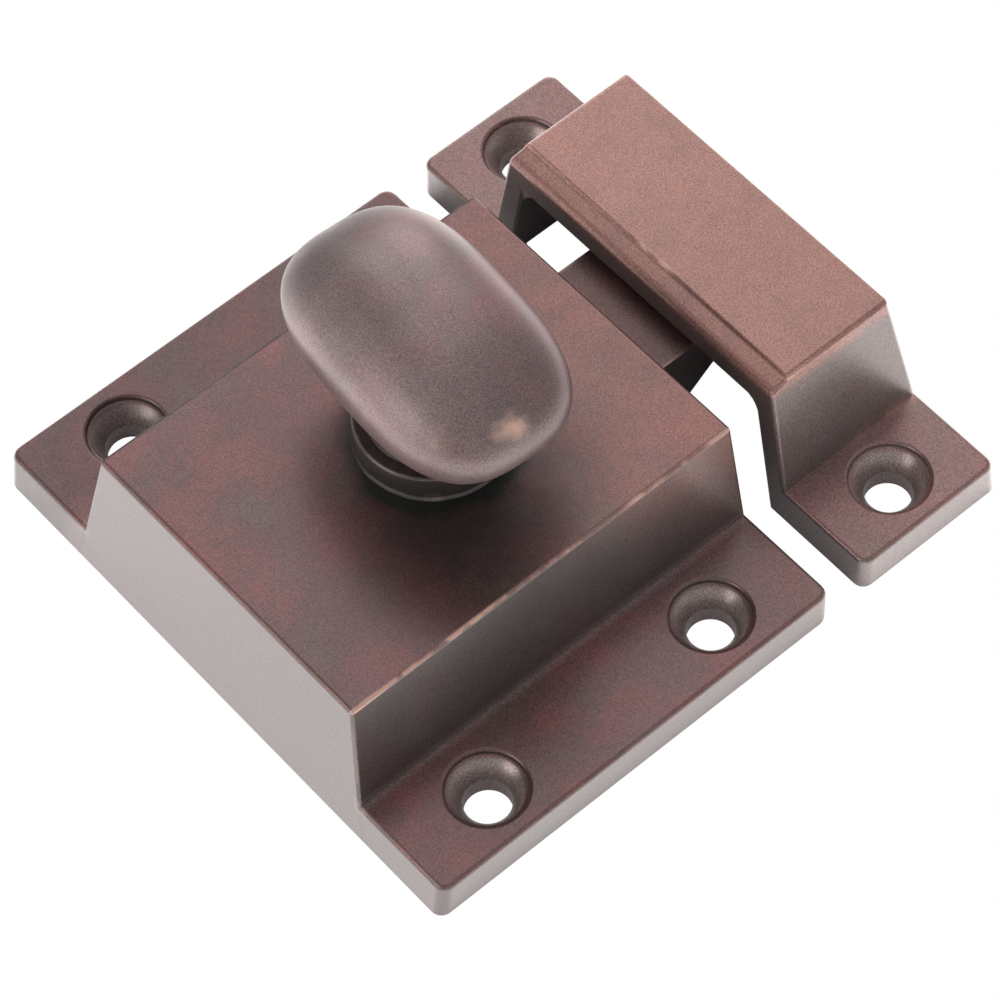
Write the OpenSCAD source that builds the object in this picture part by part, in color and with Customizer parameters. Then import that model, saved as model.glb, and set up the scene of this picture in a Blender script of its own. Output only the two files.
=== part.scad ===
// Turn catch for a cupboard door: a flanged box case with a sprung bolt and an oval knob, and its strike.
// The origin is midway between the case's four screw holes, at its back. The bolt shoots along +X, and +Z is
// out of the door.
// The knob turns anticlockwise, seen from the front, and its cam draws the bolt back into the case.

/* [Case] */
// Length of the case along the bolt, at the top of its flanges
case_l = 40; // [39:0.5:44]
// Width of the case across its two flanges
case_w = 54; // [52:0.5:60]
// Height of the case above the door
case_h = 14; // [14:0.1:16]
// Distance from the middle of the case to the knob's axis, toward the strike
knob_x = 2.5; // [2:0.1:2.5]
// Height of the flanges' outer rim, on the case and on the strike
flange_h = 3.8; // [3.6:0.1:4.4]
// Width of the box across its roof
box_top_w = 30.5; // [30:0.5:32]
// Width of the box where it meets the flanges
box_foot_w = 34.2; // [34:0.2:36]
// Thickness of the casting's walls and flanges
wall_t = 2; // [1.8:0.1:2.2]
// Thickness of the roof over the bolt
roof_t = 2.3; // [2.3:0.1:2.8]
// Thickness of the end wall that the bolt comes through
front_t = 2.6; // [2.2:0.1:3]
// Lean of the case's rear end, in degrees
rear_draft = 8.5; // [0:0.5:10]
// Radius of the castings' long edges
edge_r = 0.5; // [0.2:0.1:0.8]
// Radius of the flanges' corners, seen from the front
corner_r = 1; // [0.4:0.1:1.5]

/* [Screw holes] */
// Spacing of the case's holes along the bolt
hole_pitch_x = 23.2; // [20:0.2:26]
// Spacing of the holes across the flanges, on the case and on the strike
hole_pitch_y = 44.5; // [43.5:0.5:46]
// Diameter of the screw holes
hole_d = 3.9; // [3.5:0.1:4.5]
// Diameter of the shallow ring cut round each countersink
sink_d = 7; // [6.5:0.1:7.5]
// Depth of that ring
sink_ring_h = 0.45; // [0.3:0.05:0.6]
// Length of the straight part of the hole, from the back to the countersink
hole_land = 1.7; // [1.5:0.1:2.3]
// Thickness of the boss round the hole, under the flange
hole_boss_t = 1.5; // [1:0.1:1.6]

/* [Strike] */
// Clear space between the case and the strike
strike_space = 3.65; // [2:0.05:5]
// Length of the strike at the top of its flanges
strike_l = 14.4; // [14:0.2:18]
// Width of the strike across its two flanges
strike_w = 54; // [52:0.5:60]
// Height of the hood
hood_h = 15.6; // [15:0.1:17]
// Width of the hood across its top
hood_top_w = 31; // [30:0.5:33]
// Width of the hood where it meets the flanges
hood_foot_w = 35.4; // [34.5:0.1:37]
// Height of the hood's ceiling
hood_ceiling_h = 12.4; // [12.2:0.1:13]
// Width of the sloping lip over the mouth
lip_w = 2; // [1.5:0.1:3]
// Drop of the lip below the hood's top, at the step behind it
lip_step = 0.3; // [0.1:0.05:0.5]
// Lean of the strike's far end, in degrees
strike_draft = 7.5; // [0:0.5:10]

/* [Bolt] */
// Width of the bolt's nose
nose_w = 12.6; // [11:0.2:14]
// Thickness of the bolt
bolt_h = 7.6; // [7.2:0.1:7.7]
// How far the nose stands out of the case at rest
nose_reach = 9.8; // [8:0.1:11]
// Angle of the bevel under the nose, from the bolt's underside, in degrees
nose_bevel = 39; // [35:1:50]
// Height of the blunt tip above the bevel
nose_tip_h = 1.5; // [1:0.1:2.5]
// Bolt travel
travel = 6.5; // [5.5:0.1:6.5]
// Turn of the knob that draws the bolt right back, in degrees
knob_swing = 70; // [60:1:80]

/* [Knob] */
// Short diameter of the oval knob, along the bolt
knob_short = 16; // [14:0.5:18]
// Long diameter of the oval knob, across the case
knob_long = 25.5; // [22:0.5:30]
// Height of the knob's widest level above the case's roof
knob_mid_h = 12.1; // [11:0.1:14]
// Height of the dome above that level
knob_dome_h = 5.5; // [4:0.1:7]
// Depth of the underside below that level
knob_under_h = 5.6; // [4:0.1:6]
// Squareness of the oval in plan, where 2 is a true ellipse
knob_square = 2.9; // [2:0.1:3.5]
// Radius of the neck at its waist
neck_r = 4.3; // [4:0.1:5]
// Angle at which the knob is set on its spindle, in degrees
knob_set = -4; // [-10:1:10]
// Diameter of the collar
collar_d = 12.7; // [12:0.1:14]
// Height of the collar above the roof
collar_h = 2.7; // [2:0.1:3]
// Diameter of the spindle
spindle_d = 6; // [5.6:0.1:6.4]
// Width across the flats of the spindle's square
square_w = 4.2; // [3.8:0.1:4.2]

/* [Hidden] */
$fn = 64;

bronze = [0.36, 0.27, 0.25];
brass = [0.72, 0.58, 0.32];
steel = [0.62, 0.62, 0.64];

// Clearances: between sliding faces, between a shaft and its bore, and the overrun of a cutting shape
slide_gap = 0.1;
shaft_gap = 0.05;
over = 1;
corner_steps = 5;

// Levels inside the case
flange_under_z = flange_h - wall_t;
ceiling_z = case_h - roof_t;
bolt_top_z = ceiling_z - slide_gap;
bolt_bottom_z = bolt_top_z - bolt_h;
bolt_mid_z = (bolt_top_z + bolt_bottom_z) / 2;
plate_t = 1.4;
plate_top_z = bolt_bottom_z - 2 * slide_gap;
plate_under_z = plate_top_z - plate_t;

// Places along the bolt
case_front = case_l / 2;
case_back = -case_l / 2;
front_inside = case_front - front_t;
strike_mouth = case_front + strike_space;
strike_back = strike_mouth + strike_l;

// The cam's tooth swings equally far either side of square to the bolt, which moves it almost evenly
tooth_orbit = travel / 2 / sin(knob_swing / 2);
tooth_r = 1.6;
tooth_web_w = 2.2;
tooth_rest = 90 - knob_swing / 2;
hub_r = 4.15;
cam_h = 4.7;
cam_top_z = ceiling_z - 1.5 * slide_gap;
cam_under_z = cam_top_z - cam_h;

// The bushing in the roof, whose rim narrows a little upward
shank_r = spindle_d / 2 + 1.5;
collar_lean = 0.1;
collar_edge_r = 0.3;

// The bolt's plan: a nose, a frame with a window for the cam, and a tail that holds the spring
window_r = hub_r + 2 * slide_gap;
shoulder_x = tooth_orbit * cos(tooth_rest) - tooth_r - slide_gap;
window_front = window_r + travel + 0.4;
notch_top = tooth_orbit + tooth_r + 2 * slide_gap;
frame_half_w = 9.9;
frame_front = front_inside - slide_gap;
frame_back = knob_x - 5;
tail_half_w = 5;
bolt_corner_r = 0.5;
frame_corner_r = 1.5;
tail_back = knob_x - 11.5;
nose_tip = case_front + nose_reach;
nose_half_w = nose_w / 2;

// The spring, its bore in the tail and its seat on the case's rear wall
spring_r = 2.4;
spring_wire_r = 0.3;
spring_bore_r = 2.7;
spring_bore_end = knob_x - 6;
spring_seat_x = case_back + 3.6;
spring_seat_r = 3.3;
spring_stub_r = 1.4;
spring_stub_l = 2;
spring_turns = 7;
spring_dead_turns = 1;
spring_dead_pitch = 2.1 * spring_wire_r;

// Guide ribs and screw posts cast inside the case
rib_t = 1.4;
rib_back = knob_x - 12.5;
post_r = 2.3;
post_front_x = case_front - 5.5;
post_back_x = case_back + 6.3;
post_at = [[post_front_x, 12.3], [post_front_x, -12.3], [post_back_x, 12], [post_back_x, -12]];

// Small machine screws
screw_r = 1.25;
screw_head_r = 2.25;
screw_head_h = 1.5;
screw_l = 5.6;
screw_slot_w = 0.6;
screw_head_edge_r = 0.6;
screw_tip_h = 0.3;
washer_t = 0.5;
washer_r = 3.7;

// Margin between the back plate and the walls round it, and the plate's corners
plate_margin = 0.5;
plate_corner_r = 1.5;

// The strike's mouth leans back a little, and the step behind its lip slopes
mouth_lean = tan(1.3);
lip_edge_r = 0.15;
hood_wall_t = wall_t + 0.2;
hood_corner_r = 2;

// The knob's loft
knob_mid_z = case_h + knob_mid_h;
knob_low_z = knob_mid_z - knob_under_h;
knob_foot_z = case_h + collar_h + slide_gap;
knob_foot_r = 5.2;
neck_flare = 0.3;
neck_waist_z = knob_foot_z + 1.4;
knob_socket_z = knob_mid_z - 3.5;
knob_sides = 48;
dome_rings = 13;
under_rings = 13;
neck_rings = 8;
dome_power = 2.1;
under_power = 2.2;
blend = 2;

// Points that round corner b of the path a-b-c with radius r
function corner_arc(a, b, c, r) =
    r <= 0 ? [b] :
    let (u = (a - b) / norm(a - b),
         v = (c - b) / norm(c - b),
         half = acos(u * v) / 2,
         centre = b + (u + v) / norm(u + v) * r / sin(half),
         from = b + u * r / tan(half) - centre,
         to = b + v * r / tan(half) - centre,
         start = atan2(from.y, from.x),
         turn = (atan2(to.y, to.x) - start + 540) % 360 - 180)
    [for (i = [0:corner_steps]) centre + r * [cos(start + turn * i / corner_steps),
                                              sin(start + turn * i / corner_steps)]];

// A closed outline whose corners, given as [x, y, radius], are rounded
function rounded(corners) =
    let (n = len(corners), at = [for (c = corners) [c.x, c.y]])
    [for (i = [0:n - 1]) each corner_arc(at[(i + n - 1) % n], at[i], at[(i + 1) % n], corners[i].z)];

// Half an outline on the +x side, completed by its mirror image
function both_sides(half) =
    concat(half, [for (i = [len(half) - 1:-1:0]) [-half[i].x, half[i].y, half[i].z]]);

// Draws a (Y, Z) section along X from x0 to x1
module along_x(x0, x1) {
    translate([x0, 0, 0])
        rotate([90, 0, 90])
            linear_extrude(x1 - x0)
                children();
}

// Draws an (X, Z) profile along Y, w wide about the middle
module along_y(w) {
    rotate([90, 0, 0])
        linear_extrude(w, center = true)
            children();
}

// Section of a hat-shaped casting: a rim, a flange, a leaning side and a roof
function hat_section(w, foot_w, top_w, h) =
    both_sides([[w / 2, 0, 0],
                [w / 2, flange_h, edge_r / 2],
                [foot_w / 2, flange_h, edge_r / 2],
                [top_w / 2, h, edge_r]]);

// The upright block that such a casting is cut from, from x0 to x1, with its corners rounded
module flange_block(x0, x1, w, h) {
    translate([0, 0, -over])
        linear_extrude(h + 2 * over)
            polygon(rounded([[x1, w / 2, corner_r],
                             [x0, w / 2, corner_r],
                             [x0, -w / 2, corner_r],
                             [x1, -w / 2, corner_r]]));
}

// Section of the hollow under such a casting, between side walls, up to its ceiling
function hollow_section(foot_w, top_w, h, ceiling, wall, ceiling_r) =
    let (lean = (foot_w - top_w) / 2 / (h - flange_h),
         inside = foot_w / 2 - wall * sqrt(1 + lean * lean))
    both_sides([[inside + lean * (flange_h + over), -over, 0],
                [inside - lean * (ceiling - flange_h), ceiling, ceiling_r]]);

// The screw hole's cut: a shallow ring, a countersink and a straight land
module screw_hole() {
    ring_z = flange_h - sink_ring_h;
    cone_r = sink_d / 2 - 0.2;
    translate([0, 0, -over])
        cylinder(d = hole_d, h = flange_h + 2 * over);
    translate([0, 0, hole_land])
        cylinder(r1 = hole_d / 2, r2 = cone_r, h = ring_z - hole_land);
    translate([0, 0, ring_z])
        cylinder(d = sink_d, h = flange_h);
}

// The boss that carries the screw's load down to the door
module screw_boss() {
    cylinder(d = hole_d + 2 * hole_boss_t, h = flange_under_z + wall_t / 2);
}

// Where the case's four screw holes stand
module at_case_holes() {
    for (sx = [-1, 1], sy = [-1, 1])
        translate([sx * hole_pitch_x / 2, sy * hole_pitch_y / 2, 0])
            children();
}

module case_outside() {
    lean = tan(rear_draft);
    intersection() {
        flange_block(case_back - lean * flange_h, case_front, case_w, case_h);
        along_x(case_back - 2 * over, case_front + over)
            polygon(rounded(hat_section(case_w, box_foot_w, box_top_w, case_h)));
        along_y(case_w + 2 * over)
            polygon(rounded([[case_back - lean * flange_h, 0, 0],
                             [case_front, 0, 0],
                             [case_front, case_h, edge_r],
                             [case_back + lean * (case_h - flange_h), case_h, edge_r]]));
    }
}

// The open back: a deep hollow under the roof and shallow ones under the flanges, inside the rim
module case_hollow() {
    lean = tan(rear_draft);
    inner_back = case_back + wall_t * sqrt(1 + lean * lean);
    intersection() {
        union() {
            along_x(case_back - over, front_inside)
                polygon(rounded(hollow_section(box_foot_w, box_top_w, case_h, ceiling_z, wall_t, edge_r)));
            translate([case_back - over, wall_t - case_w / 2, -over])
                cube([front_inside - case_back + over, case_w - 2 * wall_t, flange_under_z + over]);
        }
        along_y(case_w)
            polygon([[inner_back - lean * (flange_h + over), -over],
                     [front_inside, -over],
                     [front_inside, ceiling_z],
                     [inner_back + lean * (ceiling_z - flange_h), ceiling_z]]);
    }
}

// Ribs that guide the bolt, posts for the back plate's screws and the spring's seat
module case_inner_work() {
    rib_h = ceiling_z - plate_top_z + over;
    for (side = [-1, 1])
        translate([rib_back, side * (frame_half_w + slide_gap + rib_t / 2) - rib_t / 2, plate_top_z])
            cube([front_inside - rib_back + over, rib_t, rib_h]);
    for (p = post_at)
        translate([p.x, p.y, plate_top_z])
            cylinder(r = post_r, h = rib_h);
    translate([case_back + over, 0, bolt_mid_z])
        rotate([0, 90, 0]) {
            cylinder(r = spring_seat_r, h = spring_seat_x - case_back - over);
            cylinder(r = spring_stub_r, h = spring_seat_x - case_back - over + spring_stub_l);
        }
}

module case() {
    color(bronze)
        difference() {
            union() {
                difference() {
                    case_outside();
                    case_hollow();
                }
                intersection() {
                    union() {
                        case_inner_work();
                        at_case_holes()
                            screw_boss();
                    }
                    case_outside();
                }
            }
            at_case_holes()
                screw_hole();
            for (p = post_at)
                translate([p.x, p.y, plate_top_z - over])
                    cylinder(r = screw_r, h = screw_l + over);
            // The way out for the bolt, cut up to the ceiling
            translate([front_inside - over, -nose_half_w - slide_gap, bolt_bottom_z - slide_gap])
                cube([front_t + 2 * over, nose_w + 2 * slide_gap, bolt_h + 2 * slide_gap]);
            translate([knob_x, 0, ceiling_z - over])
                cylinder(r = shank_r, h = roof_t + 2 * over);
        }
}

// The bushing pressed into the roof, with the round rim that shows under the knob
module collar() {
    rim_r = collar_d / 2;
    color(bronze)
        translate([knob_x, 0, 0])
            rotate_extrude()
                polygon(rounded([[spindle_d / 2 + shaft_gap, ceiling_z, 0],
                                 [shank_r, ceiling_z, 0],
                                 [shank_r, case_h, 0],
                                 [rim_r, case_h, 0],
                                 [rim_r - collar_lean, case_h + collar_h, collar_edge_r],
                                 [spindle_d / 2 + shaft_gap, case_h + collar_h, 0]]));
}

// The larger of two radii, rounded over where they come within the blend of each other
function soft_max(a, b) = max(a, b) + pow(max(0, blend - abs(a - b)), 2) / (4 * blend);

// Radius of the neck at height z: a waist that widens in a curve to the foot and to the level of the
// knob's underside, and from there on a straight slant inside the knob
function neck_at(z) =
    let (run = (z - neck_waist_z) / (knob_low_z - neck_waist_z))
    z < neck_waist_z
    ? neck_r + (knob_foot_r - neck_r) * pow((neck_waist_z - z) / (neck_waist_z - knob_foot_z), 2) :
    z < knob_low_z ? neck_r + neck_flare * run * run :
    neck_r + neck_flare * (2 * run - 1);

// One level of the knob as [height, short half axis, long half axis, squareness]
function knob_level(fraction, z) =
    let (a = soft_max(fraction * knob_short / 2, neck_at(z)),
         b = soft_max(fraction * knob_long / 2, neck_at(z)))
    [z, a, b, 2 + (knob_square - 2) * (b - a) / (knob_long - knob_short) * 2];

// The levels from the foot up the neck, round the underside and over the dome
function knob_levels() = concat(
    [for (i = [0:neck_rings])
        knob_level(0, knob_foot_z + (knob_low_z - knob_foot_z) * i / (neck_rings + 1))],
    [for (i = [0:under_rings])
        let (t = -90 + 90 * i / under_rings)
        knob_level(pow(cos(t), 2 / under_power),
                   knob_mid_z - knob_under_h * pow(-sin(t), 2 / under_power))],
    [for (i = [1:dome_rings - 1])
        let (t = 90 * i / dome_rings, fraction = pow(cos(t), 2 / dome_power))
        [knob_mid_z + knob_dome_h * pow(sin(t), 2 / dome_power),
         fraction * knob_short / 2, fraction * knob_long / 2, knob_square]]);

// A point of the oval at angle t, with its squareness as the power
function oval_point(level, t) =
    [level[1] * sign(cos(t)) * pow(abs(cos(t)), 2 / level[3]),
     level[2] * sign(sin(t)) * pow(abs(sin(t)), 2 / level[3]),
     level[0]];

module knob_loft() {
    levels = knob_levels();
    rings = len(levels);
    walls = [for (level = levels, i = [0:knob_sides - 1]) oval_point(level, 360 * i / knob_sides)];
    foot = rings * knob_sides;
    crest = foot + 1;
    points = concat(walls, [[0, 0, knob_foot_z], [0, 0, knob_mid_z + knob_dome_h]]);
    faces = concat(
        [for (r = [0:rings - 2], i = [0:knob_sides - 1])
            let (j = (i + 1) % knob_sides, low = r * knob_sides, high = low + knob_sides)
            each [[low + i, high + i, high + j], [low + i, high + j, low + j]]],
        [for (i = [0:knob_sides - 1]) [foot, i, (i + 1) % knob_sides]],
        [for (i = [0:knob_sides - 1])
            let (top = (rings - 1) * knob_sides)
            [crest, top + (i + 1) % knob_sides, top + i]]);
    polyhedron(points, faces);
}

module knob() {
    color(bronze)
        translate([knob_x, 0, 0])
            difference() {
                rotate([0, 0, knob_set])
                    knob_loft();
                translate([0, 0, knob_foot_z - over])
                    cylinder(d = spindle_d, h = knob_socket_z - knob_foot_z + over);
            }
}

// The spindle: round from the knob to the ceiling, square through the cam, tapped at its end
module spindle() {
    color(steel)
        translate([knob_x, 0, 0])
            difference() {
                union() {
                    translate([0, 0, cam_top_z])
                        cylinder(d = spindle_d, h = knob_socket_z - cam_top_z);
                    translate([-square_w / 2, -square_w / 2, cam_under_z + slide_gap])
                        cube([square_w, square_w, cam_h]);
                }
                translate([0, 0, cam_under_z])
                    cylinder(r = screw_r, h = screw_l);
            }
}

// The cam: a hub on the spindle's square with one rounded tooth
module cam() {
    hole_w = square_w + 2 * shaft_gap;
    color(brass)
        translate([knob_x, 0, cam_under_z])
            difference() {
                union() {
                    cylinder(r = hub_r, h = cam_h);
                    rotate([0, 0, tooth_rest]) {
                        translate([0, -tooth_web_w / 2, 0])
                            cube([tooth_orbit, tooth_web_w, cam_h]);
                        translate([tooth_orbit, 0, 0])
                            cylinder(r = tooth_r, h = cam_h);
                    }
                }
                translate([-hole_w / 2, -hole_w / 2, -over])
                    cube([hole_w, hole_w, cam_h + 2 * over]);
            }
}

module cam_washer() {
    color(steel)
        translate([knob_x, 0, cam_under_z - washer_t])
            difference() {
                cylinder(r = washer_r, h = washer_t);
                translate([0, 0, -over])
                    cylinder(r = screw_r + slide_gap, h = washer_t + 2 * over);
            }
}

// A slotted pan-head screw whose head's seat is at the origin and whose shank goes up
module pan_screw() {
    slot_h = screw_head_h / 2;
    color(steel)
        difference() {
            rotate_extrude()
                polygon(rounded([[0, -screw_head_h, 0],
                                 [screw_head_r, -screw_head_h, screw_head_edge_r],
                                 [screw_head_r, 0, 0],
                                 [screw_r, 0, 0],
                                 [screw_r, screw_l - screw_tip_h, 0],
                                 [screw_r - screw_tip_h, screw_l, 0],
                                 [0, screw_l, 0]]));
            translate([-screw_head_r - over, -screw_slot_w / 2, -screw_head_h - over])
                cube([2 * (screw_head_r + over), screw_slot_w, slot_h + over]);
        }
}

module cam_screw() {
    translate([knob_x, 0, cam_under_z - washer_t])
        rotate([0, 0, 30])
            pan_screw();
}

// The slot that the cam's hub stands in, open to the notch where its tooth works
module cam_window() {
    circle(r = window_r);
    translate([travel, 0])
        circle(r = window_r);
    translate([0, -window_r])
        square([travel, 2 * window_r]);
    polygon(rounded([[shoulder_x, 0, 0],
                     [window_front, 0, 0],
                     [window_front, notch_top, bolt_corner_r],
                     [shoulder_x, notch_top, bolt_corner_r]]));
}

// The plan of the bolt, from its tail to its nose
module bolt_plan() {
    difference() {
        polygon(rounded([[nose_tip, nose_half_w, bolt_corner_r],
                         [frame_front, nose_half_w, 0],
                         [frame_front, frame_half_w, bolt_corner_r],
                         [frame_back, frame_half_w, frame_corner_r],
                         [frame_back, tail_half_w, bolt_corner_r],
                         [tail_back, tail_half_w, bolt_corner_r],
                         [tail_back, -tail_half_w, bolt_corner_r],
                         [frame_back, -tail_half_w, bolt_corner_r],
                         [frame_back, -frame_half_w, frame_corner_r],
                         [frame_front, -frame_half_w, bolt_corner_r],
                         [frame_front, -nose_half_w, 0],
                         [nose_tip, -nose_half_w, bolt_corner_r]]));
        translate([knob_x, 0])
            cam_window();
    }
}

module bolt() {
    bevel_rise = bolt_h - nose_tip_h;
    bevel_l = bevel_rise / tan(nose_bevel);
    color(bronze)
        difference() {
            translate([0, 0, bolt_bottom_z])
                linear_extrude(bolt_h)
                    bolt_plan();
            along_y(nose_w + 2 * over)
                polygon([[nose_tip - bevel_l, bolt_bottom_z],
                         [nose_tip - bevel_l, bolt_bottom_z - over],
                         [nose_tip + over, bolt_bottom_z - over],
                         [nose_tip + over, bolt_bottom_z + bevel_rise + over * tan(nose_bevel)]]);
            translate([tail_back - over, 0, bolt_mid_z])
                rotate([0, 90, 0])
                    cylinder(r = spring_bore_r, h = spring_bore_end - tail_back + over);
        }
}

// A place along the coil: closed turns at both ends and open ones between
function coil_rise(turn, pitch, all_turns) =
    let (low_dead = min(turn, spring_dead_turns),
         high_dead = max(0, turn - all_turns + spring_dead_turns))
    (low_dead + high_dead) * spring_dead_pitch + (turn - low_dead - high_dead) * pitch;

module bolt_spring() {
    all_turns = spring_turns + 2 * spring_dead_turns;
    start_x = spring_seat_x + spring_wire_r + slide_gap;
    length = spring_bore_end - spring_wire_r - slide_gap - start_x;
    dead_rise = 2 * spring_dead_turns * spring_dead_pitch;
    pitch = (length - dead_rise) / spring_turns;
    steps = 14;
    sides = 8;
    coil_r = spring_r - spring_wire_r;
    rings = all_turns * steps;
    points = [for (k = [0:rings], s = [0:sides - 1])
        let (turn = k / steps,
             around = 360 * turn,
             reach = coil_r + spring_wire_r * cos(360 * s / sides),
             x = coil_rise(turn, pitch, all_turns) + spring_wire_r * sin(360 * s / sides))
        [start_x + x, reach * cos(around), bolt_mid_z + reach * sin(around)]];
    skin = [for (k = [0:rings - 1], s = [0:sides - 1])
        let (t = (s + 1) % sides, low = k * sides, high = low + sides)
        each [[low + s, low + t, high + t], [low + s, high + t, high + s]]];
    ends = [[for (s = [sides - 1:-1:0]) s], [for (s = [0:sides - 1]) rings * sides + s]];
    color(steel)
        polyhedron(points, concat(skin, ends));
}

// The sheet that closes the box behind the bolt, with a hole under the cam's screw
module back_plate() {
    back_x = case_back + wall_t + plate_margin;
    front_x = front_inside - plate_margin;
    half_w = box_foot_w / 2 - wall_t - plate_margin;
    color(brass)
        translate([0, 0, plate_under_z])
            linear_extrude(plate_t)
                difference() {
                    polygon(rounded([[front_x, half_w, plate_corner_r],
                                     [back_x, half_w, plate_corner_r],
                                     [back_x, -half_w, plate_corner_r],
                                     [front_x, -half_w, plate_corner_r]]));
                    translate([knob_x, 0])
                        circle(r = washer_r);
                    for (p = post_at)
                        translate(p)
                            circle(r = screw_r + slide_gap);
                }
}

module plate_screw(i) {
    translate([post_at[i].x, post_at[i].y, plate_under_z])
        rotate([0, 0, 25 + 70 * i])
            pan_screw();
}

module strike_outside() {
    lean = tan(strike_draft);
    foot_run = lean * flange_h;
    top_run = lean * (hood_h - flange_h);
    lip_z = hood_h - 2 * lip_step;
    intersection() {
        flange_block(strike_mouth - mouth_lean * flange_h, strike_back + foot_run, strike_w, hood_h);
        along_x(strike_mouth - over, strike_back + 2 * over)
            polygon(rounded(hat_section(strike_w, hood_foot_w, hood_top_w, hood_h)));
        along_y(strike_w + 2 * over)
            polygon(rounded([[strike_mouth - mouth_lean * flange_h, 0, 0],
                             [strike_back + foot_run, 0, 0],
                             [strike_back - top_run, hood_h, edge_r],
                             [strike_mouth + lip_w + lip_step / 2, hood_h, lip_edge_r],
                             [strike_mouth + lip_w, hood_h - lip_step, lip_edge_r],
                             [strike_mouth + mouth_lean * (lip_z - flange_h), lip_z, edge_r]]));
    }
}

// The hood's hollow, open at the mouth and at the back, and the shallow ones under its flanges
module strike_hollow() {
    lean = tan(strike_draft);
    inner_back = strike_back - wall_t * sqrt(1 + lean * lean);
    flange_hollow_x = strike_mouth + wall_t;
    intersection() {
        union() {
            along_x(strike_mouth - over, strike_back)
                polygon(rounded(hollow_section(hood_foot_w, hood_top_w, hood_h, hood_ceiling_h, hood_wall_t,
                                               hood_corner_r)));
            translate([flange_hollow_x, wall_t - strike_w / 2, -over])
                cube([strike_l, strike_w - 2 * wall_t, flange_under_z + over]);
        }
        along_y(strike_w)
            polygon([[strike_mouth - over, -over],
                     [inner_back + lean * (flange_h + over), -over],
                     [inner_back - lean * (hood_ceiling_h - flange_h), hood_ceiling_h],
                     [strike_mouth - over, hood_ceiling_h]]);
    }
}

// Where the strike's two screw holes stand
module at_strike_holes() {
    for (side = [-1, 1])
        translate([strike_mouth + strike_l / 2, side * hole_pitch_y / 2, 0])
            children();
}

module strike() {
    color(bronze)
        difference() {
            union() {
                difference() {
                    strike_outside();
                    strike_hollow();
                }
                intersection() {
                    at_strike_holes()
                        screw_boss();
                    strike_outside();
                }
            }
            at_strike_holes()
                screw_hole();
        }
}

case();
collar();
knob();
spindle();
cam();
cam_washer();
cam_screw();
bolt();
bolt_spring();
back_plate();
plate_screw(0);  // plate_screw_1
plate_screw(1);  // plate_screw_2
plate_screw(2);  // plate_screw_3
plate_screw(3);  // plate_screw_4
strike();
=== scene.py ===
"""Looks for a cupboard door's turn catch and its strike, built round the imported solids.

Sizes are in millimetres, in the part's own frame: X along the bolt toward the strike, Z out of the door, and the
origin midway between the case's four screw holes. Meshes are made in metres.
"""

import logging
import math
from contextlib import contextmanager
from dataclasses import dataclass, field
from enum import Enum
from typing import Any, Callable, Iterator, Sequence

import bmesh
import bpy
from mathutils import Matrix, Vector


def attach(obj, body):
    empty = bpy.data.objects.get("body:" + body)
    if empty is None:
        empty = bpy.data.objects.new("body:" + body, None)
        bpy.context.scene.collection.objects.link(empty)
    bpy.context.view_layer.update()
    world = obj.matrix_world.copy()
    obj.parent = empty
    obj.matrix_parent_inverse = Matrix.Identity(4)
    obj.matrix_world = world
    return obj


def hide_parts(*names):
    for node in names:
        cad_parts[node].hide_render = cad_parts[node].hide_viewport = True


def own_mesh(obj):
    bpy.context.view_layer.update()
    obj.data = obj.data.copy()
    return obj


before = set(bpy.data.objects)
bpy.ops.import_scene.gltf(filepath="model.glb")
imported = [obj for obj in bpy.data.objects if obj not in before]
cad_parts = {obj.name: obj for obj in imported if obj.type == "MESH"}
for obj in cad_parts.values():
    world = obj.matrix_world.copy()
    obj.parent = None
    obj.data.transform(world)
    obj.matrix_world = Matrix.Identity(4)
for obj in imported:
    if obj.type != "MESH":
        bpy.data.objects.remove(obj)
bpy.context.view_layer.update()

MM = 0.001
TINY = 1e-7  # metres: points this close are one point
NEAR = 0.05  # millimetres: a corner this close to a level or a face is on it
Point = tuple[float, float, float]
Colour = tuple[float, float, float]
log = logging.getLogger("catch")


class Body(Enum):
    """The bodies that pieces ride on."""

    FIXED = "fixed"
    TURNING = "turning"
    SLIDING = "sliding"


class Slot(Enum):
    """The record's material slots."""

    BRONZE = "cast_bronze"
    BRASS = "raw_brass"
    STEEL = "plain_steel"


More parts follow.
